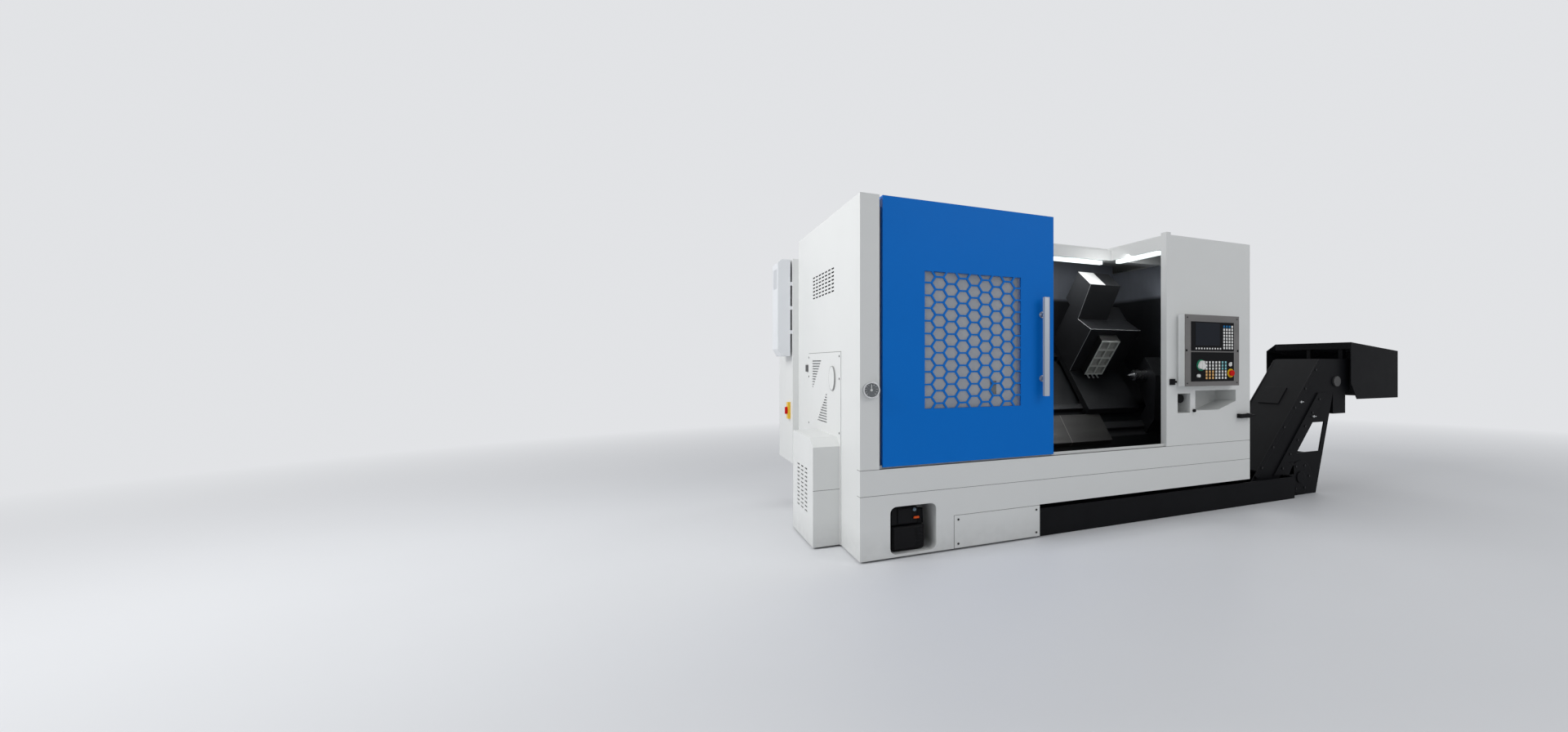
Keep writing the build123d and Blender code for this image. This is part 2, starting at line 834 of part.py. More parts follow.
with BuildPart() as inner_right_wall:
    wall_end = bed_right + inner_sheet
    liner_back = pocket_back + pocket_wall
    slab(bed_right, wall_end, liner_back, back_wall + inner_sheet, right_wall_bottom, beam_bottom)
    slab(bed_right, wall_end, front_depth, liner_back, right_wall_bottom, port_bottom - pocket_wall)
    slab(bed_right, wall_end, front_depth, liner_back, pocket_top + pocket_wall, beam_bottom)
save(inner_right_wall, "inner_right_wall")

with BuildPart() as way_guard:
    guard_left = head_right + inner_sheet
    guard_floor = guard_rise - slant_drop
    guard_top = guard_floor + guard_sheet
    slope_slab(guard_left, guard_right, guard_low, guard_high, guard_floor, guard_top)
    slope_slab(guard_left, guard_right, guard_low, guard_low + guard_sheet, guard_floor - guard_lip,
               guard_floor)
    rib_low = tail_way + tail_way_width / 2 + guard_rib_gap
    for rib_x in (guard_left, (guard_left + guard_right - guard_rib) / 2, guard_right - guard_rib):
        slope_slab(rib_x, rib_x + guard_rib, rib_low, rib_low + guard_rib_length, -slant_drop, guard_floor)
save(way_guard, "way_guard")

# Headstock, spindle and chuck
with BuildPart() as headstock:
    slab(head_left, head_right, head_front, head_back, bed_head_top, head_top)
    rod((head_left, axis_y, axis_z), (1, 0, 0), head_right - head_left, spindle_radius + spindle_clearance,
        Mode.SUBTRACT)
save(headstock, "headstock")

with BuildPart() as spindle:
    nose_left = head_right + inner_sheet + nose_gap
    chuck_left = nose_left + nose_thickness
    rod((spindle_left, axis_y, axis_z), (1, 0, 0), nose_left - spindle_left, spindle_radius)
    rod((nose_left, axis_y, axis_z), (1, 0, 0), nose_thickness, nose_radius)
    rod((pulley_left, axis_y, axis_z), (1, 0, 0), pulley_width, pulley_radius)
    rod((cylinder_left, axis_y, axis_z), (1, 0, 0), spindle_left - cylinder_left, cylinder_radius)
    rod((cylinder_left, axis_y, axis_z), (1, 0, 0), chuck_left - cylinder_left, spindle_bore, Mode.SUBTRACT)
save(spindle, "spindle")

chuck_face = chuck_left + chuck_width
chuck_middle = (chuck_face - origin_x, axis_y - origin_y, axis_z)
chuck_plane = Plane(origin=chuck_middle, x_dir=(0, 0, 1), z_dir=(1, 0, 0))

with BuildPart() as chuck:
    rod((chuck_left, axis_y, axis_z), (1, 0, 0), chuck_width, chuck_radius)
    with BuildSketch(chuck_plane):
        with PolarLocations(chuck_radius / 2, jaw_count):
            Rectangle(chuck_radius, jaw_slot_width)
    extrude(amount=-jaw_slot_depth, mode=Mode.SUBTRACT)
    rod((chuck_left, axis_y, axis_z), (1, 0, 0), chuck_width, spindle_bore, Mode.SUBTRACT)
save(chuck, "chuck")

for jaw in range(jaw_count):
    with BuildPart() as chuck_jaw:
        jaw_place = jaw_inner + jaw_length / 2
        with BuildSketch(chuck_plane.offset(jaw_clearance - jaw_slot_depth)):
            with PolarLocations(jaw_place, 1, start_angle=jaw * 360 / jaw_count):
                Rectangle(jaw_length, jaw_slot_width - 2 * jaw_clearance)
        extrude(amount=jaw_slot_depth - jaw_clearance + jaw_face_gap)
        with BuildSketch(chuck_plane.offset(jaw_face_gap)):
            with PolarLocations(jaw_place, 1, start_angle=jaw * 360 / jaw_count):
                Rectangle(jaw_length, jaw_width)
        extrude(amount=jaw_height)
    save(chuck_jaw, f"jaw_{jaw + 1}")

# Guides and carriage
with BuildPart() as guide_rails:
    for guide in (lower_guide, upper_guide):
        slope_slab(head_right + inner_sheet + guide_end_gap, bed_right - guide_end_gap,
                   guide - guide_width / 2, guide + guide_width / 2, -slant_drop, guide_height - slant_drop)
save(guide_rails, "guide_rails")

saddle_right = saddle_left + saddle_width
saddle_floor = guide_height + way_clearance - slant_drop
saddle_top = saddle_floor + saddle_thickness

with BuildPart() as saddle:
    slope_slab(saddle_left, saddle_right, saddle_low, saddle_high, saddle_floor, saddle_top)
    for guide in (lower_guide, upper_guide):
        near = guide_width / 2 + way_clearance
        for side in (guide - near - saddle_skirt, guide + near):
            slope_slab(saddle_left, saddle_right, side, side + saddle_skirt, saddle_floor - saddle_skirt,
                       saddle_floor)
save(saddle, "saddle")

with BuildPart() as cross_slide:
    slide_floor = saddle_top + way_clearance
    pull_slope([(slide_low, slide_floor), (saddle_high, slide_floor), (saddle_high, slide_shoulder),
                (motor_cover_low, slide_shoulder), (slide_low, slide_top)],
               saddle_left, saddle_right)
    pull_slope([(motor_cover_low, slide_shoulder), (motor_cover_back, slide_shoulder),
                (motor_cover_back, motor_cover_back_top),
                (motor_cover_low + motor_cover_lean, motor_cover_top)],
               saddle_left, saddle_left + motor_cover_width)
save(cross_slide, "cross_slide")

with BuildPart() as tool_block:
    block_front = slide_low - block_thickness
    slope_slab(block_left, block_left + block_width, block_front, slide_low, block_low,
               block_low + block_height)
    cell_x = (block_width - block_rib) / block_columns
    cell_v = (block_height - block_rib) / block_rows
    for column in range(block_columns):
        for row in range(block_rows):
            cell_left = block_left + block_rib + column * cell_x
            cell_low = block_low + block_rib + row * cell_v
            slope_slab(cell_left, cell_left + cell_x - block_rib, block_front,
                       block_front + block_pocket_depth, cell_low, cell_low + cell_v - block_rib,
                       Mode.SUBTRACT)
    for pipe in range(pipe_count):
        pipe_x = block_left + block_width * (pipe + 1) / (pipe_count + 1)
        with BuildLine(slope_plane(pipe_x)) as bend:
            CenterArc((block_front + block_thickness / 2 - pipe_bend, block_low), pipe_bend, 0, -pipe_sweep)
        with BuildSketch(Plane(origin=bend.line @ 0, z_dir=bend.line % 0)):
            Circle(pipe_radius)
        sweep(path=bend.line)
save(tool_block, "tool_block")

# Tailstock
with BuildPart() as tailstock:
    base_floor = tail_way_height + way_clearance - slant_drop
    way_side = tail_way_width / 2 + way_clearance
    tail_right = tail_left + tail_width
    body = tail_body_radius
    pull_slope([(tail_base_low, base_floor), (tail_base_high, base_floor),
                (tail_base_high, tail_neck_high - body), (body, -body), (body, body), (-body, body),
                (tail_base_low, tail_neck_high - body)],
               tail_left, tail_right)
    for low, high in ((tail_base_low, tail_way - way_side), (tail_way + way_side, tail_base_high)):
        slope_slab(tail_left, tail_right, low, high, way_clearance - slant_drop, base_floor)
    rod((tail_left, axis_y, axis_z), (1, 0, 0), tail_width, quill_radius + quill_clearance, Mode.SUBTRACT)
save(tailstock, "tailstock")

with BuildPart() as quill:
    quill_left = tail_left - quill_out
    quill_right = tail_right - quill_back_gap
    rod((quill_left, axis_y, axis_z), (1, 0, 0), quill_right - quill_left, quill_radius)
    with BuildSketch(Plane.XZ.offset(origin_y - axis_y)):
        Polygon((quill_left - origin_x, axis_z), (quill_left - origin_x, axis_z + quill_radius / 2),
                (quill_left - centre_length - origin_x, axis_z), align=None)
    revolve(axis=Axis((quill_left - origin_x, axis_y - origin_y, axis_z), (1, 0, 0)))
save(quill, "quill")

# Door
window_x = door_left + window_left
window_right = window_x + window_width
window_top = window_bottom + window_height

with BuildPart() as door_panel:
    groove_front = rail_front - rail_clearance
    groove_back = rail_front + rail_width + rail_clearance
    slab(door_left, door_right, 0, door_thickness, door_bottom, casing_height)
    slab(window_x, window_right, 0, door_thickness, window_bottom, window_top, Mode.SUBTRACT)
    slab(door_left, door_right, groove_front, groove_back, door_bottom,
         ledge_height + rail_height + rail_clearance, Mode.SUBTRACT)
    with BuildSketch(Plane.XZ.offset(origin_y)):
        with Locations((window_x + window_width / 2 - origin_x, window_bottom + window_height / 2)):
            Rectangle(window_width, window_height)
            corner = (hexagon_pitch_x - hexagon_bar) * 2 / 3
            half = (hexagon_pitch_z - hexagon_bar) / 2
            cell = [(corner, 0), (corner / 2, half), (-corner / 2, half), (-corner, 0), (-corner / 2, -half),
                    (corner / 2, -half)]
            for column in range(hexagon_columns):
                across = (column - (hexagon_columns - 1) / 2) * hexagon_pitch_x
                for row in range(hexagon_rows + column % 2):
                    up = (row - (hexagon_rows - 1 + column % 2) / 2) * hexagon_pitch_z
                    with Locations((across, up)):
                        Polygon(*cell, align=None, mode=Mode.SUBTRACT)
    extrude(amount=-grille_thickness)
save(door_panel, "door_panel")

with BuildPart() as door_window:
    slab(window_x, window_right, grille_thickness, grille_thickness + pane_thickness, window_bottom,
         window_top)
save(door_window, "door_window")

with BuildPart() as door_handle:
    handle_x = door_left + handle_left
    slab(handle_x, handle_x + handle_width, -handle_gap - handle_thickness, -handle_gap, handle_bottom,
         handle_bottom + handle_length)
    for post_z in (handle_bottom + handle_post_inset, handle_bottom + handle_length - handle_post_inset):
        rod((handle_x + handle_width / 2, 0, post_z), (0, -1, 0), handle_gap, handle_post_radius)
save(door_handle, "door_handle")

with BuildPart() as door_hood:
    hood_back = beam_front + beam_ledge - hood_clearance
    slab(door_left, door_right, door_thickness, hood_back, hood_under, casing_height)
    slab(door_left, door_right, hood_back - hood_lip, hood_back, beam_top + hood_clearance, hood_under)
save(door_hood, "door_hood")

# Control pendant
pendant_right = pendant_left + pendant_width
pendant_top = pendant_bottom + pendant_height
pendant_back = -mount_thickness - pendant_seat
pendant_front = pendant_back - pendant_depth
bezel_front = pendant_front - bezel_thickness
unit_front = bezel_front - unit_thickness
unit_left = pendant_left + (pendant_width - unit_width) / 2
lower_unit = pendant_bottom + unit_bottom
upper_unit = lower_unit + unit_height + unit_gap


def key_grid(left, low, columns, rows, pitch_x, pitch_z, size):
    """Rows of raised keys on a unit's face."""
    for row in range(rows):
        for column in range(columns):
            key_x = left + column * pitch_x
            key_z = low + row * pitch_z
            slab(key_x, key_x + size, unit_front - key_proud, unit_front, key_z, key_z + size)


with BuildPart() as pendant_case:
    sleeve_low = mount_bottom + hinge_lug + hinge_gap
    sleeve_length = mount_top - mount_bottom - 2 * (hinge_lug + hinge_gap)
    slab(pendant_left, pendant_right, pendant_front, pendant_back, pendant_bottom, pendant_top)
    slab(pendant_left, pendant_right, bezel_front, pendant_front, pendant_bottom, pendant_top)
    for screw_x in (pendant_left + bezel_screw_inset, pendant_right - bezel_screw_inset):
        for screw_z in (pendant_bottom + bezel_screw_inset, pendant_top - bezel_screw_inset):
            rod((screw_x, bezel_front, screw_z), (0, -1, 0), bezel_screw_head, bezel_screw_radius)
    slab(pendant_right, pin_x, pin_y - hinge_pin_radius, pendant_back, sleeve_low,
         sleeve_low + sleeve_length)
    rod((pin_x, pin_y, sleeve_low), (0, 0, 1), sleeve_length, hinge_barrel_radius)
    rod((pin_x, pin_y, sleeve_low), (0, 0, 1), sleeve_length, hinge_pin_radius + hinge_clearance,
        Mode.SUBTRACT)
save(pendant_case, "pendant_case")

with BuildPart() as pendant_screen:
    screen_x = unit_left + screen_inset
    screen_z = upper_unit + screen_inset
    slab(unit_left, unit_left + unit_width, unit_front, bezel_front, upper_unit, upper_unit + unit_height)
    slab(screen_x, screen_x + screen_width, unit_front - screen_proud, unit_front, screen_z,
         screen_z + screen_height)
    data_left = unit_left + unit_width - data_key_columns * data_key_pitch_x
    data_low = upper_unit + (unit_height - data_key_rows * data_key_pitch_z) / 2
    key_grid(data_left, data_low, data_key_columns, data_key_rows, data_key_pitch_x, data_key_pitch_z,
             data_key_size)
    key_grid(screen_x, upper_unit + soft_key_size, soft_key_count, 1, soft_key_pitch, soft_key_pitch,
             soft_key_size)
save(pendant_screen, "pendant_screen")

override_place = (unit_left + override_x, unit_front, lower_unit + override_z)
mode_place = (unit_left + mode_knob_x, unit_front, lower_unit + mode_knob_z)
stop_place = (unit_left + stop_x, unit_front, lower_unit + stop_z)

with BuildPart() as pendant_keys:
    slab(unit_left, unit_left + unit_width, unit_front, bezel_front, lower_unit, lower_unit + unit_height)
    key_left = unit_left + override_x + override_radius + mode_key_size / 2
    key_grid(key_left, lower_unit + mode_key_size, mode_key_columns, mode_key_rows, mode_key_pitch_x,
             mode_key_pitch_z, mode_key_size)
    rod(stop_place, (0, -1, 0), stop_collar_height, stop_collar_radius)
    for knob_place in (override_place, mode_place):
        rod(knob_place, (0, 1, 0), unit_thickness, knob_shaft_radius + knob_clearance, Mode.SUBTRACT)
    stop_hole = (stop_place[0], unit_front - stop_collar_height, stop_place[2])
    rod(stop_hole, (0, 1, 0), unit_thickness + stop_collar_height, stop_stem_radius + knob_clearance,
        Mode.SUBTRACT)
save(pendant_keys, "pendant_keys")


def knob(place, radius, height, grip_width, grip_height):
    """A turning knob on a short shaft, with a bar to hold it by."""
    x, y, z = place
    rod((x, y - knob_gap, z), (0, -1, 0), height, radius)
    rod((x, y + unit_thickness, z), (0, -1, 0), unit_thickness + knob_gap, knob_shaft_radius)
    slab(x - grip_width / 2, x + grip_width / 2, y - knob_gap - height - grip_height, y - knob_gap - height,
         z - radius * grip_share, z + radius * grip_share)


with BuildPart() as override_knob:
    knob(override_place, override_radius, override_height, override_grip_width, override_grip_height)
save(override_knob, "override_knob")

with BuildPart() as mode_knob:
    knob(mode_place, mode_knob_radius, mode_knob_height, mode_knob_radius / 2, mode_knob_radius / 2)
save(mode_knob, "mode_knob")

with BuildPart() as e_stop:
    stop_seat = unit_front - stop_collar_height - stop_travel - knob_gap
    rod((stop_place[0], unit_front - stop_collar_height, stop_place[2]), (0, -1, 0), stop_travel + knob_gap,
        stop_stem_radius)
    rod((stop_place[0], stop_seat, stop_place[2]), (0, -1, 0), stop_height - stop_collar_height, stop_radius)
save(e_stop, "e_stop")

# Pressure gauge
with BuildPart() as gauge_case:
    rod((gauge_x, 0, gauge_z), (0, -1, 0), gauge_depth, gauge_radius)
    rod((gauge_x, -gauge_depth, gauge_z), (0, 1, 0), gauge_dish, gauge_radius - gauge_rim, Mode.SUBTRACT)
save(gauge_case, "gauge_case")

with BuildPart() as gauge_needle:
    needle_seat = gauge_dish - gauge_depth - needle_gap
    rod((gauge_x, needle_seat, gauge_z), (0, -1, 0), needle_thickness * 2, needle_hub_radius)
    slab(gauge_x - needle_width / 2, gauge_x + needle_width / 2, needle_seat - needle_thickness, needle_seat,
         gauge_z, gauge_z + needle_length)
save(gauge_needle, "gauge_needle")

# Electrical cabinet
with BuildPart() as cabinet:
    plate_y = casing_depth + switch_plate_y
    slab(-cabinet_out, cabinet_right, casing_depth, cabinet_back, cabinet_bottom, cabinet_top)
    slab(-cabinet_out - switch_plate_sheet, -cabinet_out, plate_y - switch_plate_width / 2,
         plate_y + switch_plate_width / 2, switch_plate_z - switch_plate_height / 2,
         switch_plate_z + switch_plate_height / 2)
save(cabinet, "cabinet")

with BuildPart() as cooler:
    cooler_front = casing_depth + cooler_front_gap
    cooler_back = cooler_front + cooler_depth
    cooler_inner = -cabinet_out - cooler_gap
    cooler_left = cooler_inner - cooler_out
    cooler_top = cooler_bottom + cooler_height
    pull_y([(cooler_inner, cooler_bottom), (cooler_inner, cooler_top),
            (cooler_left + cooler_chamfer, cooler_top), (cooler_left, cooler_top - cooler_chamfer),
            (cooler_left, cooler_bottom + cooler_foot), (cooler_left + cooler_chamfer, cooler_bottom)],
           cooler_front, cooler_back)
    for bracket in range(bracket_count):
        bracket_z = cooler_bottom + cooler_height * (bracket + 1) / (bracket_count + 1)
        for bracket_y in (cooler_front, cooler_back - bracket_width):
            slab(cooler_inner, -cabinet_out, bracket_y, bracket_y + bracket_width,
                 bracket_z - bracket_height / 2, bracket_z + bracket_height / 2)
save(cooler, "cooler")

with BuildPart() as main_switch_knob:
    main_face = -cabinet_out - switch_plate_sheet - knob_gap
    rod((main_face, plate_y, switch_plate_z), (-1, 0, 0), main_knob_height, main_knob_radius)
    slab(main_face - main_knob_height - main_grip_height, main_face - main_knob_height,
         plate_y - main_grip_width / 2, plate_y + main_grip_width / 2,
         switch_plate_z - main_knob_radius * grip_share, switch_plate_z + main_knob_radius * grip_share)
save(main_switch_knob, "main_switch_knob")

# Chip conveyor
tank_left = lower_left_width
tank_back = tank_front + tank_depth
trough_back = trough_front + trough_depth
rise = (trough_head_bottom - tank_wall) / (trough_bend_low - trough_low_right)
leg_lean = (leg_top_right - leg_foot_right) / trough_head_bottom


def under_duct(z):
    """Where the duct's lower face is at a height."""
    return trough_low_right + (z - tank_wall) / rise


def leg_edge(z):
    """Where the leg's outer edge is at a height."""
    return leg_foot_right + z * leg_lean


with BuildPart() as conveyor_tank:
    slab(tank_left, tank_right, tank_front, tank_back, 0, tank_height)
    slab(tank_left + tank_wall, tank_right - tank_wall, tank_front + tank_wall, tank_back - tank_wall,
         tank_wall, tank_height + overrun, Mode.SUBTRACT)
save(conveyor_tank, "conveyor_tank")

with BuildPart() as conveyor_trough:
    duct = [(trough_low_left, tank_wall), (trough_low_right, tank_wall),
            (trough_bend_low, trough_head_bottom), (trough_end, trough_head_bottom),
            (trough_end, trough_top), (trough_bend_top, trough_top)]
    pull_y(duct, trough_front, trough_back)
    with BuildSketch(Plane.XZ.offset(origin_y - trough_front - trough_wall)):
        Polygon(*[(x - origin_x, z) for x, z in duct], align=None)
        offset(amount=-trough_wall, kind=Kind.INTERSECTION, mode=Mode.REPLACE)
    extrude(amount=2 * trough_wall - trough_depth, mode=Mode.SUBTRACT)
    slab(trough_end - trough_wall, trough_end, trough_front + trough_wall, trough_back - trough_wall,
         trough_head_bottom + trough_wall, trough_top - trough_wall, Mode.SUBTRACT)
    slab(trough_low_left, trough_low_left + inlet_length, trough_front + trough_wall,
         trough_back - trough_wall, tank_wall + trough_wall, inlet_top, Mode.SUBTRACT)
    flange_low = tank_height + tank_wall
    flange_x = under_duct(flange_low)
    strip = [(flange_x, flange_low), (trough_bend_low, trough_head_bottom),
             (trough_bend_low - flange_height, trough_head_bottom), (flange_x - flange_height, flange_low)]
    for face in (trough_front - flange_out, trough_back):
        pull_y(strip, face, face + flange_out)
    hatch_x = trough_low_left + (trough_bend_top - trough_low_left) * hatch_share
    hatch_z = tank_wall + (trough_top - tank_wall) * hatch_share
    incline = (trough_bend_top - trough_low_left, 0, trough_top - tank_wall)
    hatch_y = trough_front + trough_depth / 2 + hatch_back_shift
    hatch_place = (hatch_x - origin_x, hatch_y - origin_y, hatch_z)
    with BuildSketch(Plane(origin=hatch_place, x_dir=incline, z_dir=(-incline[2], 0, incline[0]))):
        Rectangle(hatch_length, hatch_width)
    extrude(amount=hatch_sheet)
    for face in (trough_front, trough_back - trough_wall):
        rod((shaft_x, face, shaft_z), (0, 1, 0), trough_wall, shaft_radius + shaft_clearance, Mode.SUBTRACT)
save(conveyor_trough, "conveyor_trough")

with BuildPart() as conveyor_legs:
    leg_top = tank_wall + (tank_right - trough_low_right) * rise
    leg = [(tank_right, leg_top), (trough_bend_low, trough_head_bottom),
           (leg_top_right, trough_head_bottom), (leg_foot_right, 0), (leg_foot_left, 0),
           (tank_right, leg_knee)]
    window = [(under_duct(leg_window_low) + leg_rib, leg_window_low),
              (leg_edge(leg_window_low) - leg_rib, leg_window_low),
              (leg_edge(leg_window_high) - leg_rib, leg_window_high),
              (under_duct(leg_window_high) + leg_rib, leg_window_high)]
    for face in (trough_front, trough_back - leg_thickness):
        pull_y(leg, face, face + leg_thickness)
        pull_y(window, face, face + leg_thickness, Mode.SUBTRACT)
    rod((leg_tie_x, trough_front, leg_tie_z), (0, 1, 0), trough_depth, leg_tie_radius)
save(conveyor_legs, "conveyor_legs")

with BuildPart() as conveyor_shaft:
    shaft_front = trough_front - shaft_overhang
    rod((shaft_x, shaft_front, shaft_z), (0, 1, 0), trough_depth + 2 * shaft_overhang, shaft_radius)
    rod((shaft_x, shaft_front, shaft_z), (0, 1, 0), shaft_overhang - knob_gap, shaft_collar_radius)
    for sprocket_y in (trough_front + sprocket_inset, trough_back - sprocket_inset - sprocket_width):
        rod((shaft_x, sprocket_y, shaft_z), (0, 1, 0), sprocket_width, sprocket_radius)
save(conveyor_shaft, "conveyor_shaft")

with BuildPart() as conveyor_motor:
    gear_bottom = trough_head_bottom - gear_height
    slab(gear_left, gear_left + gear_width, trough_front, trough_front + gear_depth, gear_bottom,
         trough_head_bottom)
    rod((gear_left + gear_width / 2, trough_front + gear_depth, gear_bottom + gear_height / 2), (0, 1, 0),
        gear_motor_length, gear_motor_radius)
save(conveyor_motor, "conveyor_motor")

with BuildPart() as conveyor_hood:
    hood_end = hood_front + hood_depth
    hood_fall = (hood_top_left - hood_top_right) / (hood_right - hood_left)
    shell = [(hood_left, hood_bottom + hood_chamfer_z), (hood_left + hood_chamfer_x, hood_bottom),
             (hood_right, hood_bottom), (hood_right, hood_top_right), (hood_left, hood_top_left)]
    inside = [(hood_left - overrun, hood_bottom - overrun), (hood_right - hood_wall, hood_bottom - overrun),
              (hood_right - hood_wall, hood_top_right - hood_wall + hood_wall * hood_fall),
              (hood_left - overrun, hood_top_left - hood_wall + overrun * hood_fall)]
    pull_y(shell, hood_front, hood_end)
    pull_y(inside, hood_front + hood_wall, hood_end - hood_wall, Mode.SUBTRACT)
    strip_low = hood_top_left - hood_strip
    slab(hood_left, hood_left + hood_wall, hood_front, hood_end, strip_low, hood_top_left - hood_wall)
    post_left = trough_end - hood_post
    for post_y in (trough_front + hood_post_inset, trough_back - hood_post_inset - hood_post):
        post_top = hood_top_left - hood_wall - (post_left - hood_left) * hood_fall
        slab(post_left, trough_end, post_y, post_y + hood_post, trough_top, post_top)
save(conveyor_hood, "conveyor_hood")
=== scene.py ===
# %% [markdown]
# # A turning lathe, dressed for a photograph
#
# The solids of this lathe come from CAD and stay where they are. Here they get paint, metal and plastic, a
# few pieces that are too fine for CAD, a floor, lamps and a camera. Every place on the machine is in
# millimetres from the casing's front left corner on the floor, as a fitter would measure it, and one
# function turns it into metres.

# %% Load the solids
import math

import bmesh
import bpy
from mathutils import Matrix, Vector


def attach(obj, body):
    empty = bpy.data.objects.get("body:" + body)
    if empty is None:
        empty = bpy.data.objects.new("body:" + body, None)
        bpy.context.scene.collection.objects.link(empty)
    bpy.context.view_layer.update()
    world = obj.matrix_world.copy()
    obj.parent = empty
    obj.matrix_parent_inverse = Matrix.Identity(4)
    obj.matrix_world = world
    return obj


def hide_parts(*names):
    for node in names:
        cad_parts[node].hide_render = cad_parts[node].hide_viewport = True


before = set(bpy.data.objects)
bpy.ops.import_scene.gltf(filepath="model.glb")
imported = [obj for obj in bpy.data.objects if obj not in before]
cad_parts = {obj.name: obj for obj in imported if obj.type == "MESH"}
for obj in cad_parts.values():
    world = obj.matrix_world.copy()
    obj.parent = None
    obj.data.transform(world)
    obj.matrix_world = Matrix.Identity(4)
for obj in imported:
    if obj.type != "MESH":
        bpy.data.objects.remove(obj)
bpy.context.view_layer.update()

# %% [markdown]
# The origin of the model is on the floor in the middle of the whole machine, conveyor included. Places
# could be given from there, but on the real machine one measures from the casing's front left corner. So
# `spot` shifts a measured place to the model's own frame, and no sum has to be done by hand.

# %% From the fitter's millimetres to metres
CORNER = Vector((2217.0, 1085.1, 0.0))


def spot(x, y, z):
    """A measured place, in the model's metres."""
    return (Vector((x, y, z)) - CORNER) / 1000


def mm(length):
    """A measured length, in metres."""
    return length / 1000


def x_at(place):
    """A measured place along X, in the model's metres."""
    return spot(place, 0, 0).x


def y_at(place):
    """A measured place along Y, in the model's metres."""
    return spot(0, place, 0).y


print("casing corner:", [round(v, 3) for v in spot(0, 0, 0)])

# %% [markdown]
# The camera stands at eye level to the left of the lathe and looks level, so upright edges stay upright.
# The lathe is right of the middle of the picture. Turning the camera could put it there too, but with
# another perspective, so the lens is shifted instead.

# %% Camera
VIEW_WIDTH = 1920
VIEW_HEIGHT = 896
FOCAL_PIXELS = 851.4
HORIZON_X = 1330
HORIZON_Y = 446
EYE = (-916, -3614, 1021)
TURN = math.radians(-32.24)

camera = bpy.data.objects.new("camera", bpy.data.cameras.new("camera"))
camera.data.sensor_width = 36
camera.data.lens = FOCAL_PIXELS * camera.data.sensor_width / VIEW_WIDTH
camera.data.shift_x = (VIEW_WIDTH / 2 - HORIZON_X) / VIEW_WIDTH
camera.data.shift_y = (HORIZON_Y - VIEW_HEIGHT / 2) / VIEW_WIDTH
camera.data.clip_end = 200
camera.location = spot(*EYE)
camera.rotation_euler = (math.radians(90), 0, TURN)
bpy.context.scene.collection.objects.link(camera)
bpy.context.scene.camera = camera
print("lens:", round(camera.data.lens, 2), "mm, at", [round(v, 3) for v in camera.location])

# %% [markdown]
# Shader maths could be wired node by node, but it reads best as plain formulas. A `Value` wraps one output
# of a shader node, and `+ - * /` and the comparisons add the Math nodes that work the formula out. The
# reflected forms let a number stand on the left, as in `1 - mask`.

# %% Numbers in a shader
class Value:
    """One output of a shader node, ready to be used in a formula."""

    def __init__(self, network, socket):
        self.network = network
        self.socket = socket

    def __add__(self, other):
        return self.network.maths("ADD", self, other)

    __radd__ = __add__

    def __sub__(self, other):
        return self.network.maths("SUBTRACT", self, other)

    def __rsub__(self, other):
        return self.network.maths("SUBTRACT", other, self)

    def __mul__(self, other):
        return self.network.maths("MULTIPLY", self, other)

    __rmul__ = __mul__

    def __truediv__(self, other):
        return self.network.maths("DIVIDE", self, other)

    def __rtruediv__(self, other):
        return self.network.maths("DIVIDE", other, self)

    def __lt__(self, other):
        return self.network.maths("LESS_THAN", self, other)

    def __gt__(self, other):
        return self.network.maths("GREATER_THAN", self, other)

    def __abs__(self):
        return self.network.maths("ABSOLUTE", self)


# %% [markdown]
# Materials and the world both hold a tree of nodes. `Network` adds nodes to such a tree: one method makes
# any node from its type, its settings and what its sockets get, so nothing is wired by hand. The background
# has to show to the camera and in metal and glass without lighting anything, and `seen` tells those rays
# apart.

# %% Nodes in a tree
class Network:
    """A tree of shader nodes that can be added to."""

    def __init__(self, tree):
        self.tree = tree

    def feed(self, socket, value):
        """Set a socket to a number or a colour, or link it."""
        if isinstance(value, Value):
            self.tree.links.new(value.socket, socket)
        else:
            socket.default_value = value

    def node(self, kind, settings=None, inputs=None, output=0):
        """Any node: its settings first, then what its sockets get."""
        made = self.tree.nodes.new(kind)
        for key, value in (settings or {}).items():
            setattr(made, key, value)
        for key, value in (inputs or {}).items():
            self.feed(made.inputs[key], value)
        return Value(self, made.outputs[output])

    def maths(self, operation, *values):
        """A Math node."""
        return self.node("ShaderNodeMath", {"operation": operation}, dict(enumerate(values)))

    def seen(self):
        """1 for what the camera sees and what metal and glass show."""
        rays = [self.node("ShaderNodeLightPath", output=ray)
                for ray in ("Is Camera Ray", "Is Glossy Ray", "Is Transmission Ray")]
        return self.maths("MINIMUM", rays[0] + rays[1] + rays[2], 1.0)


# %% [markdown]
# A `Finish` is a material while it is being made. It keeps the colour, the roughness and the relief that
# have been worked out so far, so that one paint can get a grain first, then a seam, then a yellow plate.
# `close` joins them to the shader. A Bevel node rounds the edges in the shading, because folded sheet never
# has a knife edge.

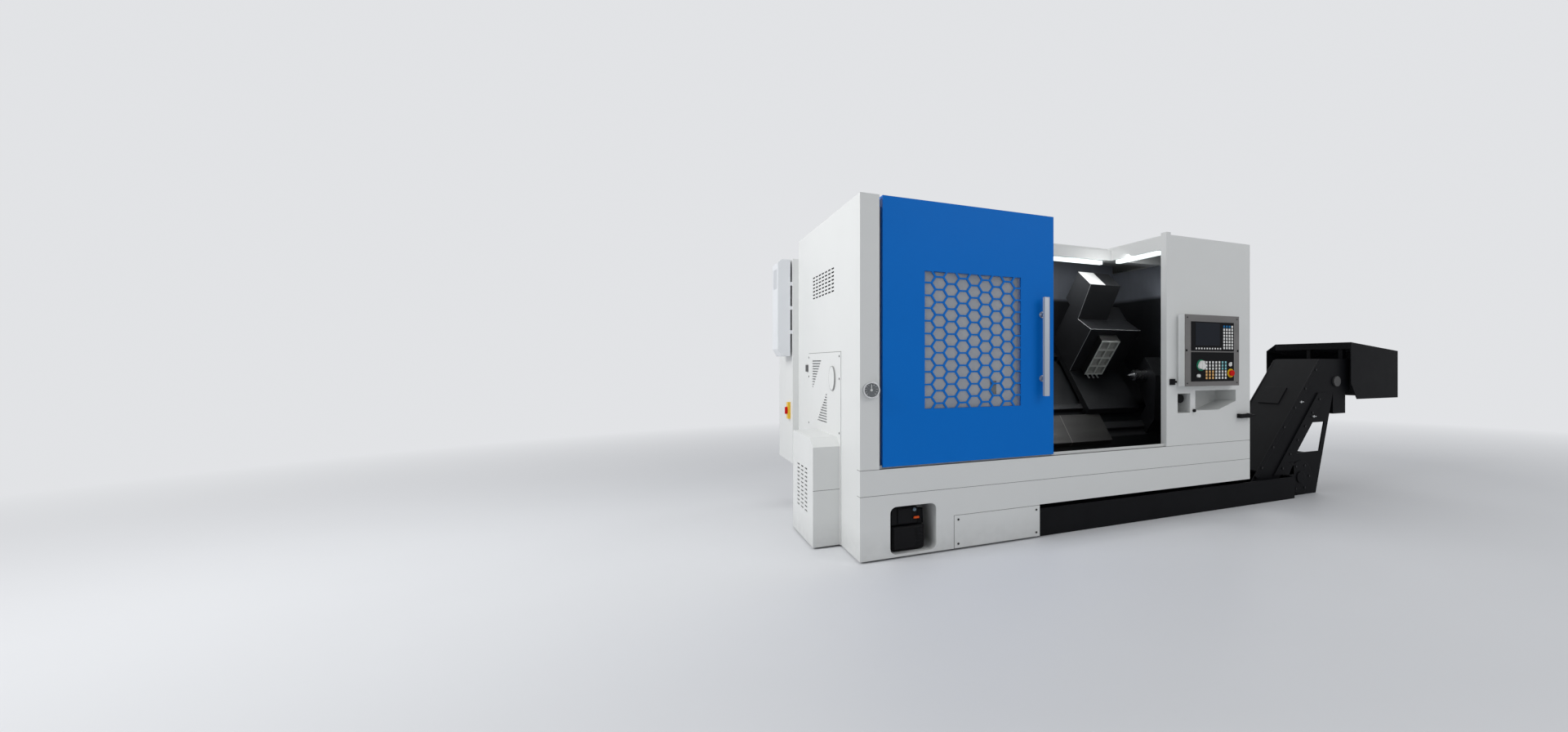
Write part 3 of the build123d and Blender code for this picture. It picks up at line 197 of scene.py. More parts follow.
# %% A material in the making
class Finish(Network):
    """A material, with the colour, roughness and relief that it has so far."""

    def __init__(self, name, colour, roughness, fixed=None):
        self.material = bpy.data.materials.new(name)
        self.material.use_nodes = True
        super().__init__(self.material.node_tree)
        self.shader = self.tree.nodes["Principled BSDF"]
        self.colour = (*colour, 1.0)
        self.roughness = roughness
        self.metal = None
        self.glow = None
        self.relief = []
        for socket, value in (fixed or {}).items():
            self.shader.inputs[socket].default_value = value
        self.place = self.node("ShaderNodeTexCoord", output="Object")
        self.x, self.y, self.z = (self.node("ShaderNodeSeparateXYZ", None, {0: self.place}, axis)
                                  for axis in "XYZ")

    def blend(self, mask, below, above, way="MIX"):
        """One colour over another where the mask is 1."""
        settings = {"data_type": "RGBA", "blend_type": way}
        return self.node("ShaderNodeMix", settings, {0: mask, 6: below, 7: above}, 2)

    def noise(self, size, detail=2.0, stretch=(1, 1, 1)):
        """Soft spots about as large as a size in millimetres, drawn out along an axis by a stretch."""
        scaled = self.node("ShaderNodeVectorMath", {"operation": "DIVIDE"}, {0: self.place, 1: stretch})
        inputs = {"Vector": scaled, "Scale": 1 / mm(size), "Detail": detail}
        return self.node("ShaderNodeTexNoise", None, inputs)

    def ramp(self, value, low, high):
        """From 0 to 1 while a value goes from one limit to the other."""
        return self.node("ShaderNodeMapRange", None, {"Value": value, "From Min": low, "From Max": high})

    def span(self, value, low, high):
        """1 where a value is between two limits."""
        return (value > low) * (value < high)

    def box(self, low, high):
        """1 inside a box between two measured corners."""
        a = spot(*low)
        b = spot(*high)
        return self.span(self.x, a.x, b.x) * self.span(self.y, a.y, b.y) * self.span(self.z, a.z, b.z)

    def reach(self, first, second):
        """Distance from an axis, out of two offsets square to it."""
        return self.maths("SQRT", first * first + second * second)

    def paint(self, mask, colour=None, roughness=None, metal=None):
        """Put another colour, roughness or metal where the mask is 1."""
        if colour is not None:
            self.colour = self.blend(mask, self.colour, (*colour, 1.0))
        if roughness is not None:
            self.roughness = self.roughness + mask * (roughness - self.roughness)
        if metal is not None:
            before = 0.0 if self.metal is None else self.metal
            self.metal = mask * (metal - before) + before

    def shade(self, mask, factor):
        """Darken or lighten the colour so far where the mask is 1."""
        self.colour = self.blend(mask, self.colour, (factor, factor, factor, 1), "MULTIPLY")

    def emboss(self, height, depth):
        """Add a relief, its depth in millimetres."""
        self.relief.append((height, mm(depth)))

    def close(self, edge=2.0):
        """Join everything to the shader, and round the edges by a radius in millimetres."""
        self.feed(self.shader.inputs["Base Color"], self.colour)
        self.feed(self.shader.inputs["Roughness"], self.roughness)
        if self.metal is not None:
            self.feed(self.shader.inputs["Metallic"], self.metal)
        if self.glow is not None:
            self.feed(self.shader.inputs["Emission Color"], self.glow)
        normal = self.node("ShaderNodeBevel", {"samples": 4}, {"Radius": mm(edge)}) if edge else None
        for height, depth in self.relief:
            inputs = {"Height": height, "Distance": depth, "Strength": 1.0}
            if normal is not None:
                inputs["Normal"] = normal
            normal = self.node("ShaderNodeBump", None, inputs)
        if normal is not None:
            self.feed(self.shader.inputs["Normal"], normal)
        return self.material


def dress(material, *names):
    """Give CAD pieces their material."""
    for name in names:
        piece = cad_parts[name]
        piece.data.materials.clear()
        piece.data.materials.append(material)
    print(material.name, "on", len(names), "pieces")


# %% [markdown]
# Most of the machine is sheet steel with a pale powder coat. The coat has a fine orange peel, it is never
# the same white all over, and it is a little darker in patches near the floor. A picture of paint could be
# wrapped round the panels, but noise on the object's own coordinates needs no unwrapping and has the right
# size everywhere. One function makes the coat, so the casing, the cabinet and the pendant share it and differ
# only in what is painted over it.

# %% The pale powder coat
COAT = (0.755, 0.765, 0.755)


def powder_coat(name, colour=COAT, roughness=0.42, darker_low=True, fixed=None):
    """A powder coat with orange peel, soft clouds and darker patches near the floor."""
    coat = Finish(name, colour, roughness, fixed)
    coat.shade(coat.noise(420, 3.0), 0.95)
    # darker in patches towards the floor
    if darker_low:
        coat.shade(coat.ramp(coat.z, mm(170), mm(0)) * coat.noise(60, 4.0), 0.72)
    coat.roughness = coat.noise(35) * 0.10 + (roughness - 0.05)
    coat.emboss(coat.noise(2.2, 1.0), 0.035)
    return coat


dress(powder_coat("casing_white").close(), "roof_back", "roof_left", "roof_right", "front_pockets")

# %% [markdown]
# Panels meet in hairline seams. On the real casing these are dark gaps a few millimetres wide, and the eye
# reads the build of the machine from them. Grooves could be cut, but the solids touch there and so narrow a
# gap is only seen as a dark line. So `line` makes one where a coordinate passes a measured place, a mask
# keeps it to the faces that have it, and `draw_seams` paints the sum of such lines.

# %% Front panels with their seams
SEAM = (0.17, 0.17, 0.165)


def line(across, place, width=2.6):
    """1 on a hairline where a coordinate passes a place."""
    return abs(across - place) < mm(width / 2)


def draw_seams(coat, mask):
    """Paint the seams where a sum of lines isn't 0."""
    coat.paint(coat.maths("MINIMUM", mask, 1.0), SEAM, 0.7)


front = powder_coat("front_white")
seams = line(front.z, mm(341)) + line(front.z, mm(476))
cover_edge = line(front.x, x_at(506.5)) * (front.z < mm(192))
cover_edge = cover_edge + line(front.z, mm(191.5)) * front.span(front.x, x_at(506), x_at(1040))
draw_seams(front, seams + cover_edge)
dress(front.close(), "apron_band", "lower_front", "lower_apron", "right_front", "front_column")

cover = powder_coat("cover_white")
cover.paint(cover.y < y_at(-3.2), (0.01, 0.01, 0.01), 0.4)
dress(cover.close(1.0), "access_cover")

# %% [markdown]
# The left side has louvres high up, a screwed access panel with two fans of slots, and a black latch. The
# latch and the screw heads belong to the panels' solids. They could be split off, but it is simpler to tell
# them apart by how far they stand out, and the cap over the spindle's bore by its distance from the
# spindle's axis. Louvres look dark because no light comes back out of them, so the walls of the slots are
# painted dark too.

# %% Left side
RUBBER = (0.012, 0.012, 0.013)
SPINDLE_Y = 600
SPINDLE_Z = 940
CAP_RADIUS = 70

side = powder_coat("side_white")
side.paint(side.box((1.2, 250, 1380), (40, 1500, 1760)), (0.03, 0.032, 0.036), 0.8)
top_line = line(side.z, mm(1093), 3.0) * side.span(side.y, y_at(405), y_at(1330))
back_line = line(side.y, y_at(1328.5), 5.0) * (side.z < mm(1093))
draw_seams(side, top_line + back_line)
side.paint(side.x < x_at(-1), RUBBER, 0.45)
dress(side.close(), "left_panel")

access = powder_coat("access_white")
from_axis = access.reach(access.y - y_at(SPINDLE_Y), access.z - mm(SPINDLE_Z))
heads = (access.x < x_at(-5)) * (from_axis > mm(CAP_RADIUS + 10))
access.paint(heads, (0.05, 0.05, 0.05), 0.35)
# painted shade: a dark ring round the rim of the cap over the spindle's bore
access.shade(line(from_axis, mm(CAP_RADIUS), 4.0), 0.45)
dress(access.close(1.0), "access_panel")

guard_box = powder_coat("side_box_white")
draw_seams(guard_box, line(guard_box.z, mm(322)) * (guard_box.y < y_at(430)))
dress(guard_box.close(), "side_box")

# %% [markdown]
# The right side and the back are out of the photograph's sight. They are made like the rest: plain sheets
# with a seam where two sheets meet, and a service door at the back. Nothing stands out there, so lines in
# the paint are enough.

# %% Right side and back
right = powder_coat("right_white")
draw_seams(right, line(right.y, y_at(850), 3.0) + line(right.z, mm(476)))
dress(right.close(), "right_panel")

back = powder_coat("back_white")
back_seams = line(back.x, x_at(1520), 3.0) + line(back.x, x_at(2300), 3.0)
draw_seams(back, back_seams + line(back.z, mm(420)))
dress(back.close(), "back_panel")

# %% [markdown]
# The electrical cabinet at the back carries the main switch on a yellow base, which is found by how far it
# stands out. Its doors are at the back, where the photograph doesn't look, so they are only seams. The
# cooling unit on its side has a bluish white coat and a grille. Its bars could be cut, but they are fine
# and shallow, so the height divided by the step of the bars gives a striped mask. The stripes are painted
# shade where the slots between the bars would be dark.

# %% Cabinet and cooler
cabinet = powder_coat("cabinet_white")
cabinet.paint(cabinet.x < x_at(-40.6), (0.80, 0.50, 0.02), 0.4)
at_back = cabinet.y > y_at(2289)
door_edges = sum(line(cabinet.x, x_at(door_edge), 4.0) for door_edge in (10, 730, 1450))
draw_seams(cabinet, door_edges * at_back)
dress(cabinet.close(), "cabinet")

cooler = powder_coat("cooler_white", (0.78, 0.80, 0.825), darker_low=False)
BAR_STEP = 14
on_left = cooler.x < x_at(-134)
grille = on_left * cooler.box((-140, 1760, 1560), (-130, 1930, 1700))
# painted shade in the slots of the grille
slot_shade = cooler.maths("FRACT", cooler.z / mm(BAR_STEP)) < 0.4
cooler.paint(grille * slot_shade, (0.30, 0.32, 0.35), 0.6)
dress(cooler.close(4.0), "cooler")

# %% [markdown]
# The sliding door is the one strong colour. Blue powder coat has the same orange peel as the white one, so
# it comes from the same function, and a lower specular level keeps the pale studio from washing the blue
# out. The honeycomb over the window is part of the same sheet. The pane behind it could be a glass shader,
# but thin clear plastic bends no light that one would notice, so a low alpha is quicker and less noisy.

# %% Door
DOOR_BLUE = (0.0, 0.170, 0.64)
DULL = {"Specular IOR Level": 0.12}
dress(powder_coat("door_blue", DOOR_BLUE, 0.40, True, DULL).close(), "door_panel")
dress(powder_coat("hood_blue", DOOR_BLUE, 0.40, False, DULL).close(), "door_hood")

pane = Finish("door_pane", (0.62, 0.66, 0.66), 0.06, {"Alpha": 0.16})
pane.roughness = pane.noise(120, 3.0) * 0.08 + 0.03
dress(pane.close(0), "door_window")

behind = powder_coat("behind_door_white", (0.80, 0.79, 0.76))
behind.shade(behind.noise(160, 2.0, (1, 1, 3)), 0.82)
behind.paint(behind.y < y_at(59), RUBBER, 0.5)
dress(behind.close(), "fixed_front")

# %% [markdown]
# Two lamps light the work space from under the roof beams. The tubes are the lowest part of the beams'
# solids, so they are found by their height. They could light the work space by their glow alone, but that
# is noisy, so here they only shine and two lamps further down give the light.

# %% Roof beams and lamps
beam = powder_coat("beam_white", darker_low=False, fixed={"Emission Strength": 1.3})
tube = beam.z < mm(1789)
beam.paint(tube, (0.9, 0.93, 0.95), 0.3)
beam.glow = beam.blend(tube, (0, 0, 0, 1), (0.88, 1, 1, 1))
dress(beam.close(), "back_beam", "side_beam")

# %% [markdown]
# Inside, the sheet is dark and oily. The top of the walls keeps a bluish grey, and below it everything is
# nearly black with coolant and chips. Two materials would need a cut in the walls, and a short ramp over
# the height gives both tones from one.

# %% Work space walls
OILY = {"Specular IOR Level": 0.3}
inner = Finish("oily_wall", (0.012, 0.013, 0.015), 0.38, OILY)
upper = inner.ramp(inner.z, mm(1530), mm(1560))
inner.colour = inner.blend(upper, inner.colour, (0.17, 0.185, 0.215, 1))
inner.shade(inner.noise(130, 4.0, (1, 1, 2.4)), 0.6)
inner.roughness = inner.noise(50, 3.0) * 0.25 + 0.3
inner.emboss(inner.noise(9, 2.0), 0.10)
dress(inner.close(), "inner_back_wall", "inner_left_wall", "inner_right_wall")

# %% [markdown]
# Bed, headstock and tailstock are painted castings, rougher than sheet. The skin of a casting could be
# modelled, but it is a fraction of a millimetre deep, so a relief of fine noise does it. The shine varies
# more than on sheet, because oil lies in patches.

# %% Castings
iron = Finish("painted_iron", (0.014, 0.015, 0.017), 0.42, OILY)
iron.shade(iron.noise(90, 4.0), 0.6)
iron.roughness = iron.noise(30, 3.0) * 0.22 + 0.32
iron.emboss(iron.noise(5, 3.0), 0.12)
dress(iron.close(3.0), "bed", "headstock", "tailstock", "saddle", "levelling_feet")

# %% [markdown]
# The cover of the cross slide is smooth. The left part of its top is pale with a painted reflection of the
# work lamp, and painted highlights run along two edges. The slide moves on a slant of 45 degrees. Masks along
# X, Y and Z would need slanted limits, so `off_slope` gives distances up the slant and square off it, and a
# painted highlight is a narrow band of them.

# %% Cover of the cross slide
def off_slope(finish):
    """Distance up the slant and square off it, from the spindle's axis."""
    depth = finish.y - y_at(SPINDLE_Y)
    rise = finish.z - mm(SPINDLE_Z)
    return (rise + depth) * math.sqrt(0.5), (rise - depth) * math.sqrt(0.5)


TOP_LEAN = 0.2216  # the top comes down by this share of the way up the slant
TOP_LEVEL = 557

slide = Finish("carriage_cover", (0.020, 0.021, 0.023), 0.34, OILY)
slide.shade(slide.noise(140, 3.0), 0.7)
slide.roughness = slide.noise(60, 3.0) * 0.20 + 0.26
slide.emboss(slide.noise(4, 2.0), 0.05)
up_slope, square_off = off_slope(slide)
# painted reflection of the work lamp on the left part of the top
lamp_reflection_top = square_off + up_slope * TOP_LEAN > mm(TOP_LEVEL)
slide.paint(lamp_reflection_top * (slide.x < x_at(1925)), (0.62, 0.62, 0.61), 0.4)
# painted highlights along the left edge and the near top edge
side_highlight = slide.span(slide.x, x_at(1795.3), x_at(1800))
top_highlight = slide.span(up_slope, mm(252.3), mm(257)) * (square_off > mm(190))
top_highlight = top_highlight * slide.span(slide.x, x_at(1795.3), x_at(2244.7))
slide.paint(slide.maths("MAXIMUM", side_highlight, top_highlight), (0.40, 0.41, 0.42), 0.3)
dress(slide.close(5.0), "cross_slide")

# %% [markdown]
# The plates over the bed slide under each other and are rubbed along their length. Scratches could be drawn
# one by one, but noise that is drawn out along X gives the same streaks at once. A pale line is a painted
# highlight on the edge where one plate goes under the next.

# %% Plates over the bed
sheet = Finish("worn_sheet", (0.050, 0.049, 0.048), 0.34, {"Metallic": 0.5})
sheet.shade(sheet.noise(70, 4.0, (6, 1, 1)), 0.45)
# painted highlight on the edge where one plate goes under the next
sheet.paint(line(sheet.x, x_at(1564), 5.0), (0.12, 0.115, 0.11), 0.3)
sheet.roughness = sheet.noise(25, 3.0, (8, 1, 1)) * 0.3 + 0.26
dress(sheet.close(5.0), "way_guard")

# %% [markdown]
# Bare steel shows how it was made. The chuck and the spindle were turned, so fine rings run round the
# spindle's axis. A sine of the distance from the axis gives such rings without a picture. The guide rails
# were ground lengthways, and noise drawn out along X varies their shine.

# %% Turned and ground steel
RING_STEP = 1.6

turned = Finish("turned_steel", (0.36, 0.37, 0.38), 0.24, {"Metallic": 1.0})
radius = turned.reach(turned.y - y_at(SPINDLE_Y), turned.z - mm(SPINDLE_Z))
turned.roughness = turned.noise(40, 3.0) * 0.16 + 0.20
turned.emboss(turned.maths("SINE", radius * (2 * math.pi / mm(RING_STEP))), 0.01)
dress(turned.close(1.5), "chuck", "spindle", "jaw_1", "jaw_2", "jaw_3", "quill")

ground = Finish("ground_steel", (0.05, 0.052, 0.055), 0.26, {"Metallic": 1.0})
ground.roughness = ground.noise(3, 2.0, (40, 1, 1)) * 0.2 + 0.28
dress(ground.close(1.5), "guide_rails")

# %% [markdown]
# Steel in use doesn't stay bright. Dust dulls the conveyor's shaft. The tool block is dark, with pale
# pockets, and its front face and pipes carry painted light. It is one solid, so the pockets and the lit faces
# are found by their place on the slant. Zinc plate is kept for small pieces further down.

# %% Dusty shaft, tool block and zinc plate
dusty = Finish("dusty_steel", (0.075, 0.075, 0.075), 0.45, {"Metallic": 0.4})
dusty.roughness = dusty.noise(12, 3.0) * 0.2 + 0.36
dress(dusty.close(1.5), "conveyor_shaft")

block = Finish("tool_block_metal", (0.030, 0.031, 0.030), 0.34)
up_slope, square_off = off_slope(block)
pockets = (up_slope < mm(208)) * block.span(square_off, mm(-172), mm(168))
pockets = pockets * block.span(block.x, x_at(1888), x_at(2042))
block.paint(pockets, (0.46, 0.47, 0.44), 0.4)
# painted light on the front face and on the pipes of the tool block
lit_faces = block.maths("MAXIMUM", up_slope < mm(183), square_off < mm(-176))
block.paint(lit_faces, (0.82, 0.85, 0.80), 0.3)
block.shade(block.noise(45, 3.0), 0.75)
block.roughness = block.noise(20, 3.0) * 0.2 + 0.24
dress(block.close(1.5), "tool_block")

zinc = Finish("zinc_plate", (0.55, 0.56, 0.57), 0.35, {"Metallic": 0.7})
zinc.roughness = zinc.noise(5, 3.0) * 0.2 + 0.28
zinc_plate = zinc.close(0)

# %% [markdown]
# The chip conveyor is painted nearly black. An even black would look like a hole in the picture, and dark
# paint shows dust before anything else, so the tone varies in large soft clouds, and the shine varies too.
# A low specular level keeps the black deep.

# %% Chip conveyor
MATT = {"Specular IOR Level": 0.10}

black_coat = Finish("conveyor_black", (0.004, 0.004, 0.005), 0.42, MATT)
clouds = black_coat.noise(260, 4.0)
black_coat.colour = black_coat.blend(clouds, (0.003, 0.003, 0.004, 1), (0.009, 0.0095, 0.011, 1))
black_coat.roughness = black_coat.noise(80, 3.0) * 0.2 + 0.32
black_coat.emboss(black_coat.noise(2.5, 1.0), 0.04)
black_coat = black_coat.close()
dress(black_coat, "conveyor_tank", "conveyor_trough", "conveyor_legs", "conveyor_motor")

# %% [markdown]
# The pendant is a pale box with a grey metal front. Front and box are one solid, so two materials would
# need a cut. The front is found by its depth instead, and so are the dark screw heads that stand out from
# it.

# %% Pendant case
case = powder_coat("pendant_white", darker_low=False)
bezel = case.y < y_at(-80.2)
case.paint(bezel, (0.20, 0.193, 0.19), 0.42, 0.5)
case.shade(bezel * case.noise(70, 4.0, (3, 1, 1)), 0.72)
case.paint(case.y < y_at(-84.6), (0.03, 0.03, 0.03), 0.35)
dress(case.close(1.5), "pendant_case")

# %% [markdown]
# Both control units are black moulded fronts with raised keys. Every key could have a material of its own,
# but one per unit is enough: a key is where the surface stands out, and its colour follows from its row and
# column. The red button stands on a yellow disc, which is found by its distance from the button's axis.

# %% Screen and keys
KEY_WHITE = (0.80, 0.80, 0.78)
KEY_FRONT = -88.6
KEY_ROW = 982

screen = Finish("screen_unit", (0.005, 0.005, 0.006), 0.42, MATT)
screen.emboss(screen.noise(1.2, 1.0), 0.01)
glass_area = screen.box((2169, -89.5, 1146), (2386, -87.8, 1302))
screen.paint(glass_area, (0.016, 0.019, 0.026), 0.10)
raised = (screen.y < y_at(KEY_FRONT)) * (1 - glass_area)
screen.paint(raised, KEY_WHITE, 0.45)
top_row = raised * (screen.z > mm(1269))
screen.paint(top_row * (screen.x < x_at(2485)), (0.02, 0.16, 0.36), 0.4)
dress(screen.close(0.6), "pendant_screen")

keys = Finish("key_unit", (0.005, 0.005, 0.006), 0.42, MATT)
keys.emboss(keys.noise(1.2, 1.0), 0.01)
raised = keys.y < y_at(KEY_FRONT)
keys.paint(raised, KEY_WHITE, 0.45)
keys.paint(raised * (keys.x < x_at(2340)) * (keys.z < mm(KEY_ROW)), (0.78, 0.46, 0.18), 0.45)
keys.paint(raised * (keys.x > x_at(2395)) * (keys.z > mm(KEY_ROW)), (0.25, 0.56, 0.60), 0.45)
from_stop = keys.reach(keys.x - x_at(2485.5), keys.z - mm(961))
keys.paint(raised * (from_stop < mm(30.5)), (0.80, 0.52, 0.02), 0.4)
dress(keys.close(0.6), "pendant_keys")

# %% [markdown]
# Small moulded parts come next: black fittings, white knobs, red buttons and the chrome case of the gauge.
# Moulded plastic has a faint grain, and its shine changes a little where hands touch it. One function makes
# every plastic, because only the colour and the shine differ.

# %% Plastic and chrome
def plastic(name, colour, roughness):
    """Moulded plastic with a faint grain."""
    moulded = Finish(name, colour, roughness, MATT)
    moulded.roughness = moulded.noise(14, 3.0) * 0.15 + (roughness - 0.07)
    moulded.emboss(moulded.noise(1.5, 1.0), 0.02)
    return moulded.close(1.0)


black_plastic = plastic("black_plastic", (0.008, 0.008, 0.009), 0.42)
white_plastic = plastic("white_plastic", (0.80, 0.80, 0.78), 0.38)
red_plastic = plastic("red_plastic", (0.62, 0.012, 0.010), 0.30)
dress(black_plastic, "door_latch", "pull_bar")
dress(white_plastic, "mode_knob", "gauge_needle")
dress(red_plastic, "e_stop", "main_switch_knob")

chrome = Finish("chrome_rim", (0.62, 0.63, 0.64), 0.10, {"Metallic": 1.0})
chrome.roughness = chrome.noise(12, 2.0) * 0.08 + 0.08
dress(chrome.close(1.5), "gauge_case")

# %% [markdown]
# New pieces are modelled with bmesh operators. `finish_piece` turns a bmesh into an object at the origin,
# gives it its material and lets it ride on its body. Most pieces are built up from boxes and round bars, so
# those two get a function each. Their edges are rounded in the mesh, because a rounded edge that is only
# shaded doesn't show in the outline.

# %% From a bmesh to a piece
def finish_piece(shape, name, body, material, stands_for=()):
    """A finished piece that rides on a body."""
    bmesh.ops.recalc_face_normals(shape, faces=shape.faces)
    mesh = bpy.data.meshes.new(name)
    shape.to_mesh(mesh)
    shape.free()
    mesh.materials.append(material)
    piece = bpy.data.objects.new(name, mesh)
    bpy.context.scene.collection.objects.link(piece)
    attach(piece, body)
    if stands_for:
        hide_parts(*stands_for)
    print(name, "has", len(mesh.polygons), "faces")


def round_edges(shape, edges, radius, steps):
    """Round edges by a radius in millimetres."""
    bmesh.ops.bevel(shape, geom=edges, offset=mm(radius), affect="EDGES", segments=steps, profile=0.5,
                    material=-1)


def add_bar(shape, low, high, edge=0.0, steps=2):
    """A box between two measured corners, its edges rounded."""
    a = spot(*low)
    b = spot(*high)
    size = Matrix.Diagonal((*(b - a), 1))
    made = bmesh.ops.create_cube(shape, size=1, matrix=Matrix.Translation((a + b) / 2) @ size)
    if edge:
        edges = list({e for v in made["verts"] for e in v.link_edges})
        round_edges(shape, edges, edge, steps)


def facing(direction):
    """The turn from straight up to a direction."""
    return Vector((0, 0, 1)).rotation_difference(Vector(direction)).to_matrix().to_4x4()


def add_disc(shape, start, direction, length, radius, edge=0.0, sides=48):
    """A round bar from a measured place along a direction, its ends rounded."""
    place = Matrix.Translation(spot(*start) + Vector(direction) * mm(length / 2))
    made = bmesh.ops.create_cone(shape, cap_ends=True, segments=sides, radius1=mm(radius), radius2=mm(radius),
                                 depth=mm(length), matrix=place @ facing(direction))
    if edge:
        caps = [f for f in {f for v in made["verts"] for f in v.link_faces} if len(f.verts) == sides]
        edges = list({e for f in caps for e in f.edges})
        round_edges(shape, edges, edge, 3)


# %% [markdown]
# The door handle is a satin aluminium bar on two round posts. It is extruded, with a shallow groove along
# its front and its sides, so the long faces of a box are inset and pushed in. Fine lines along its length
# come from noise that is drawn out along Z.

# %% Door handle
satin = Finish("handle_satin", (0.42, 0.45, 0.50), 0.3, {"Metallic": 0.9})
satin.roughness = satin.noise(2, 2.0, (1, 1, 60)) * 0.2 + 0.24

handle = bmesh.new()
add_bar(handle, (1036, -64, 837), (1074, -42, 1414))
long_edges = [e for e in handle.edges if e.calc_length() > 0.1]
round_edges(handle, long_edges, 5, 3)
wide_faces = [f for f in handle.faces if f.calc_area() > 0.005]
bmesh.ops.inset_individual(handle, faces=wide_faces, thickness=mm(3), depth=mm(-1.6))
for post in (938, 1313):
    add_disc(handle, (1055, 0, post), (0, -1, 0), 46, 12, 1)
    add_disc(handle, (1055, 0, post), (0, -1, 0), 5, 19, 1.5)
finish_piece(handle, "handle_bar", "door", satin.close(1.0), ["door_handle"])

# %% [markdown]
# The override knob is large and lobed so that it can be turned with a glove on. A round disc with a rounded
# rim is drawn in at three places, by scaling every vertex a little with its angle, and a pointer bar is put
# on top. The green ring under it is a thin disc that stays on the pendant.

# %% Override knob and its green ring
KNOB = (2217.5, -87.8, 1015)

knob = bmesh.new()
add_disc(knob, KNOB, (0, -1, 0), 20, 31, 3, 72)
middle = spot(*KNOB)
for vertex in knob.verts:
    arm = vertex.co - middle
    draw = 0.90 + 0.10 * math.cos(3 * math.atan2(arm.x, arm.z))
    vertex.co = middle + Vector((arm.x * draw, arm.y, arm.z * draw))
add_bar(knob, (2209.5, -119.8, 986), (2225.5, -107.3, 1044), 3, 3)
finish_piece(knob, "override_grip", "override_knob", white_plastic, ["override_knob"])

scale_ring = bmesh.new()
add_disc(scale_ring, (KNOB[0], -87.25, KNOB[2]), (0, -1, 0), 0.45, 38)
green_ring = plastic("green_ring", (0.02, 0.22, 0.12), 0.42)
finish_piece(scale_ring, "override_scale", "pendant", green_ring)

# %% [markdown]
# Above the red button sits a small key switch. Its white lever is a short rounded bar on a round collar. It
# could be drawn with more detail, but in the picture it is only a few pixels wide, so two rounded shapes
# are enough.

# %% Key switch
key_switch = bmesh.new()
add_disc(key_switch, (2481, -87.2, 1020), (0, -1, 0), 5, 14, 1)
add_bar(key_switch, (2474, -101, 1011), (2488, -92, 1036), 2)
finish_piece(key_switch, "key_switch", "pendant", white_plastic)

# %% [markdown]
# The gauge's dial is a dark disc in the chrome case, with a ring of pale ticks. The ticks could be a
# picture or thin boxes, but they follow from the angle round the needle's axis, so a formula stays sharp at
# any distance. A thin lens closes the case.

# %% Pressure gauge
GAUGE_X = 53
GAUGE_Z = 889
TICK_STEP = 27

dial = Finish("gauge_dial", (0.030, 0.034, 0.040), 0.4)
across = dial.x - x_at(GAUGE_X)
rising = dial.z - mm(GAUGE_Z)
angle = dial.maths("ARCTAN2", across, rising) * (180 / math.pi)
tick = abs(dial.maths("FRACT", angle / TICK_STEP + 0.5) - 0.5) < 0.07
ring = dial.span(dial.reach(across, rising), mm(25), mm(32)) * (abs(angle) < 137)
dial.paint(tick * ring, (0.7, 0.7, 0.7), 0.5)
face = bmesh.new()
add_disc(face, (GAUGE_X, -17.95, GAUGE_Z), (0, -1, 0), 0.4, 35.5, 0, 64)
finish_piece(face, "dial_face", "machine", dial.close(0))

lens_glass = Finish("gauge_glass", (0.75, 0.78, 0.80), 0.04, {"Alpha": 0.10})
lens_glass.roughness = lens_glass.noise(20, 2.0) * 0.04 + 0.03
lens = bmesh.new()
add_disc(lens, (GAUGE_X, -23.5, GAUGE_Z), (0, -1, 0), 1.2, 35.8, 0, 64)
finish_piece(lens, "gauge_lens", "machine", lens_glass.close(0))

# %% [markdown]
# Three coolant hooks hang under the tool block. A curve with a round profile could make them, but a small
# capped circle that is swept about an axis along X, as the spin operator does, is a closed mesh at once.

# %% Coolant hooks
HOOK_RADIUS = 6
HOOK_BEND = 20
slope = Vector((0, math.sqrt(0.5), math.sqrt(0.5)))
square = Vector((0, -math.sqrt(0.5), math.sqrt(0.5)))

hooks = bmesh.new()
for hook_x in (1925, 1965, 2005):
    root = spot(hook_x, SPINDLE_Y, SPINDLE_Z) + slope * mm(196) + square * mm(-174)
    circle = bmesh.ops.create_circle(hooks, cap_ends=True, segments=16, radius=mm(HOOK_RADIUS),
                                     matrix=Matrix.Translation(root) @ facing(-square))
    start = list({f for v in circle["verts"] for f in v.link_faces})
    bmesh.ops.spin(hooks, geom=start + circle["verts"], cent=root - slope * mm(HOOK_BEND), axis=(1, 0, 0),
                   angle=math.radians(-140), steps=14)
finish_piece(hooks, "coolant_hooks", "cross_slide", zinc_plate)

# %% [markdown]
# Small fittings on the right front: a round plug in its recess, a turn knob beside the tool tray, and two
# clips on the pendant's front. They are turned or moulded shapes with soft edges, so the bars and discs
# from above make them. What sits on one body shares one mesh.

# %% Small fittings
fittings = bmesh.new()
add_disc(fittings, (2150, 150, 787), (0, -1, 0), 96, 24, 2)
add_disc(fittings, (2150, 62, 787), (0, -1, 0), 24, 28, 4)
add_disc(fittings, (2228, 0, 707), (0, -1, 0), 16, 11, 2, 24)
finish_piece(fittings, "plug_and_knob", "machine", black_plastic)

clips = bmesh.new()
for clip_x in (2088, 2551):
    add_bar(clips, (clip_x, -88, 1107), (clip_x + 12, -84.2, 1121), 1.5)
finish_piece(clips, "bezel_clips", "pendant", black_plastic)

# %% [markdown]
# The lubrication pump in the niche is a black moulded tank with a motor block on top, an orange-red lever
# and a grey filler cap. Rounded boxes are enough, because it sits in shadow.

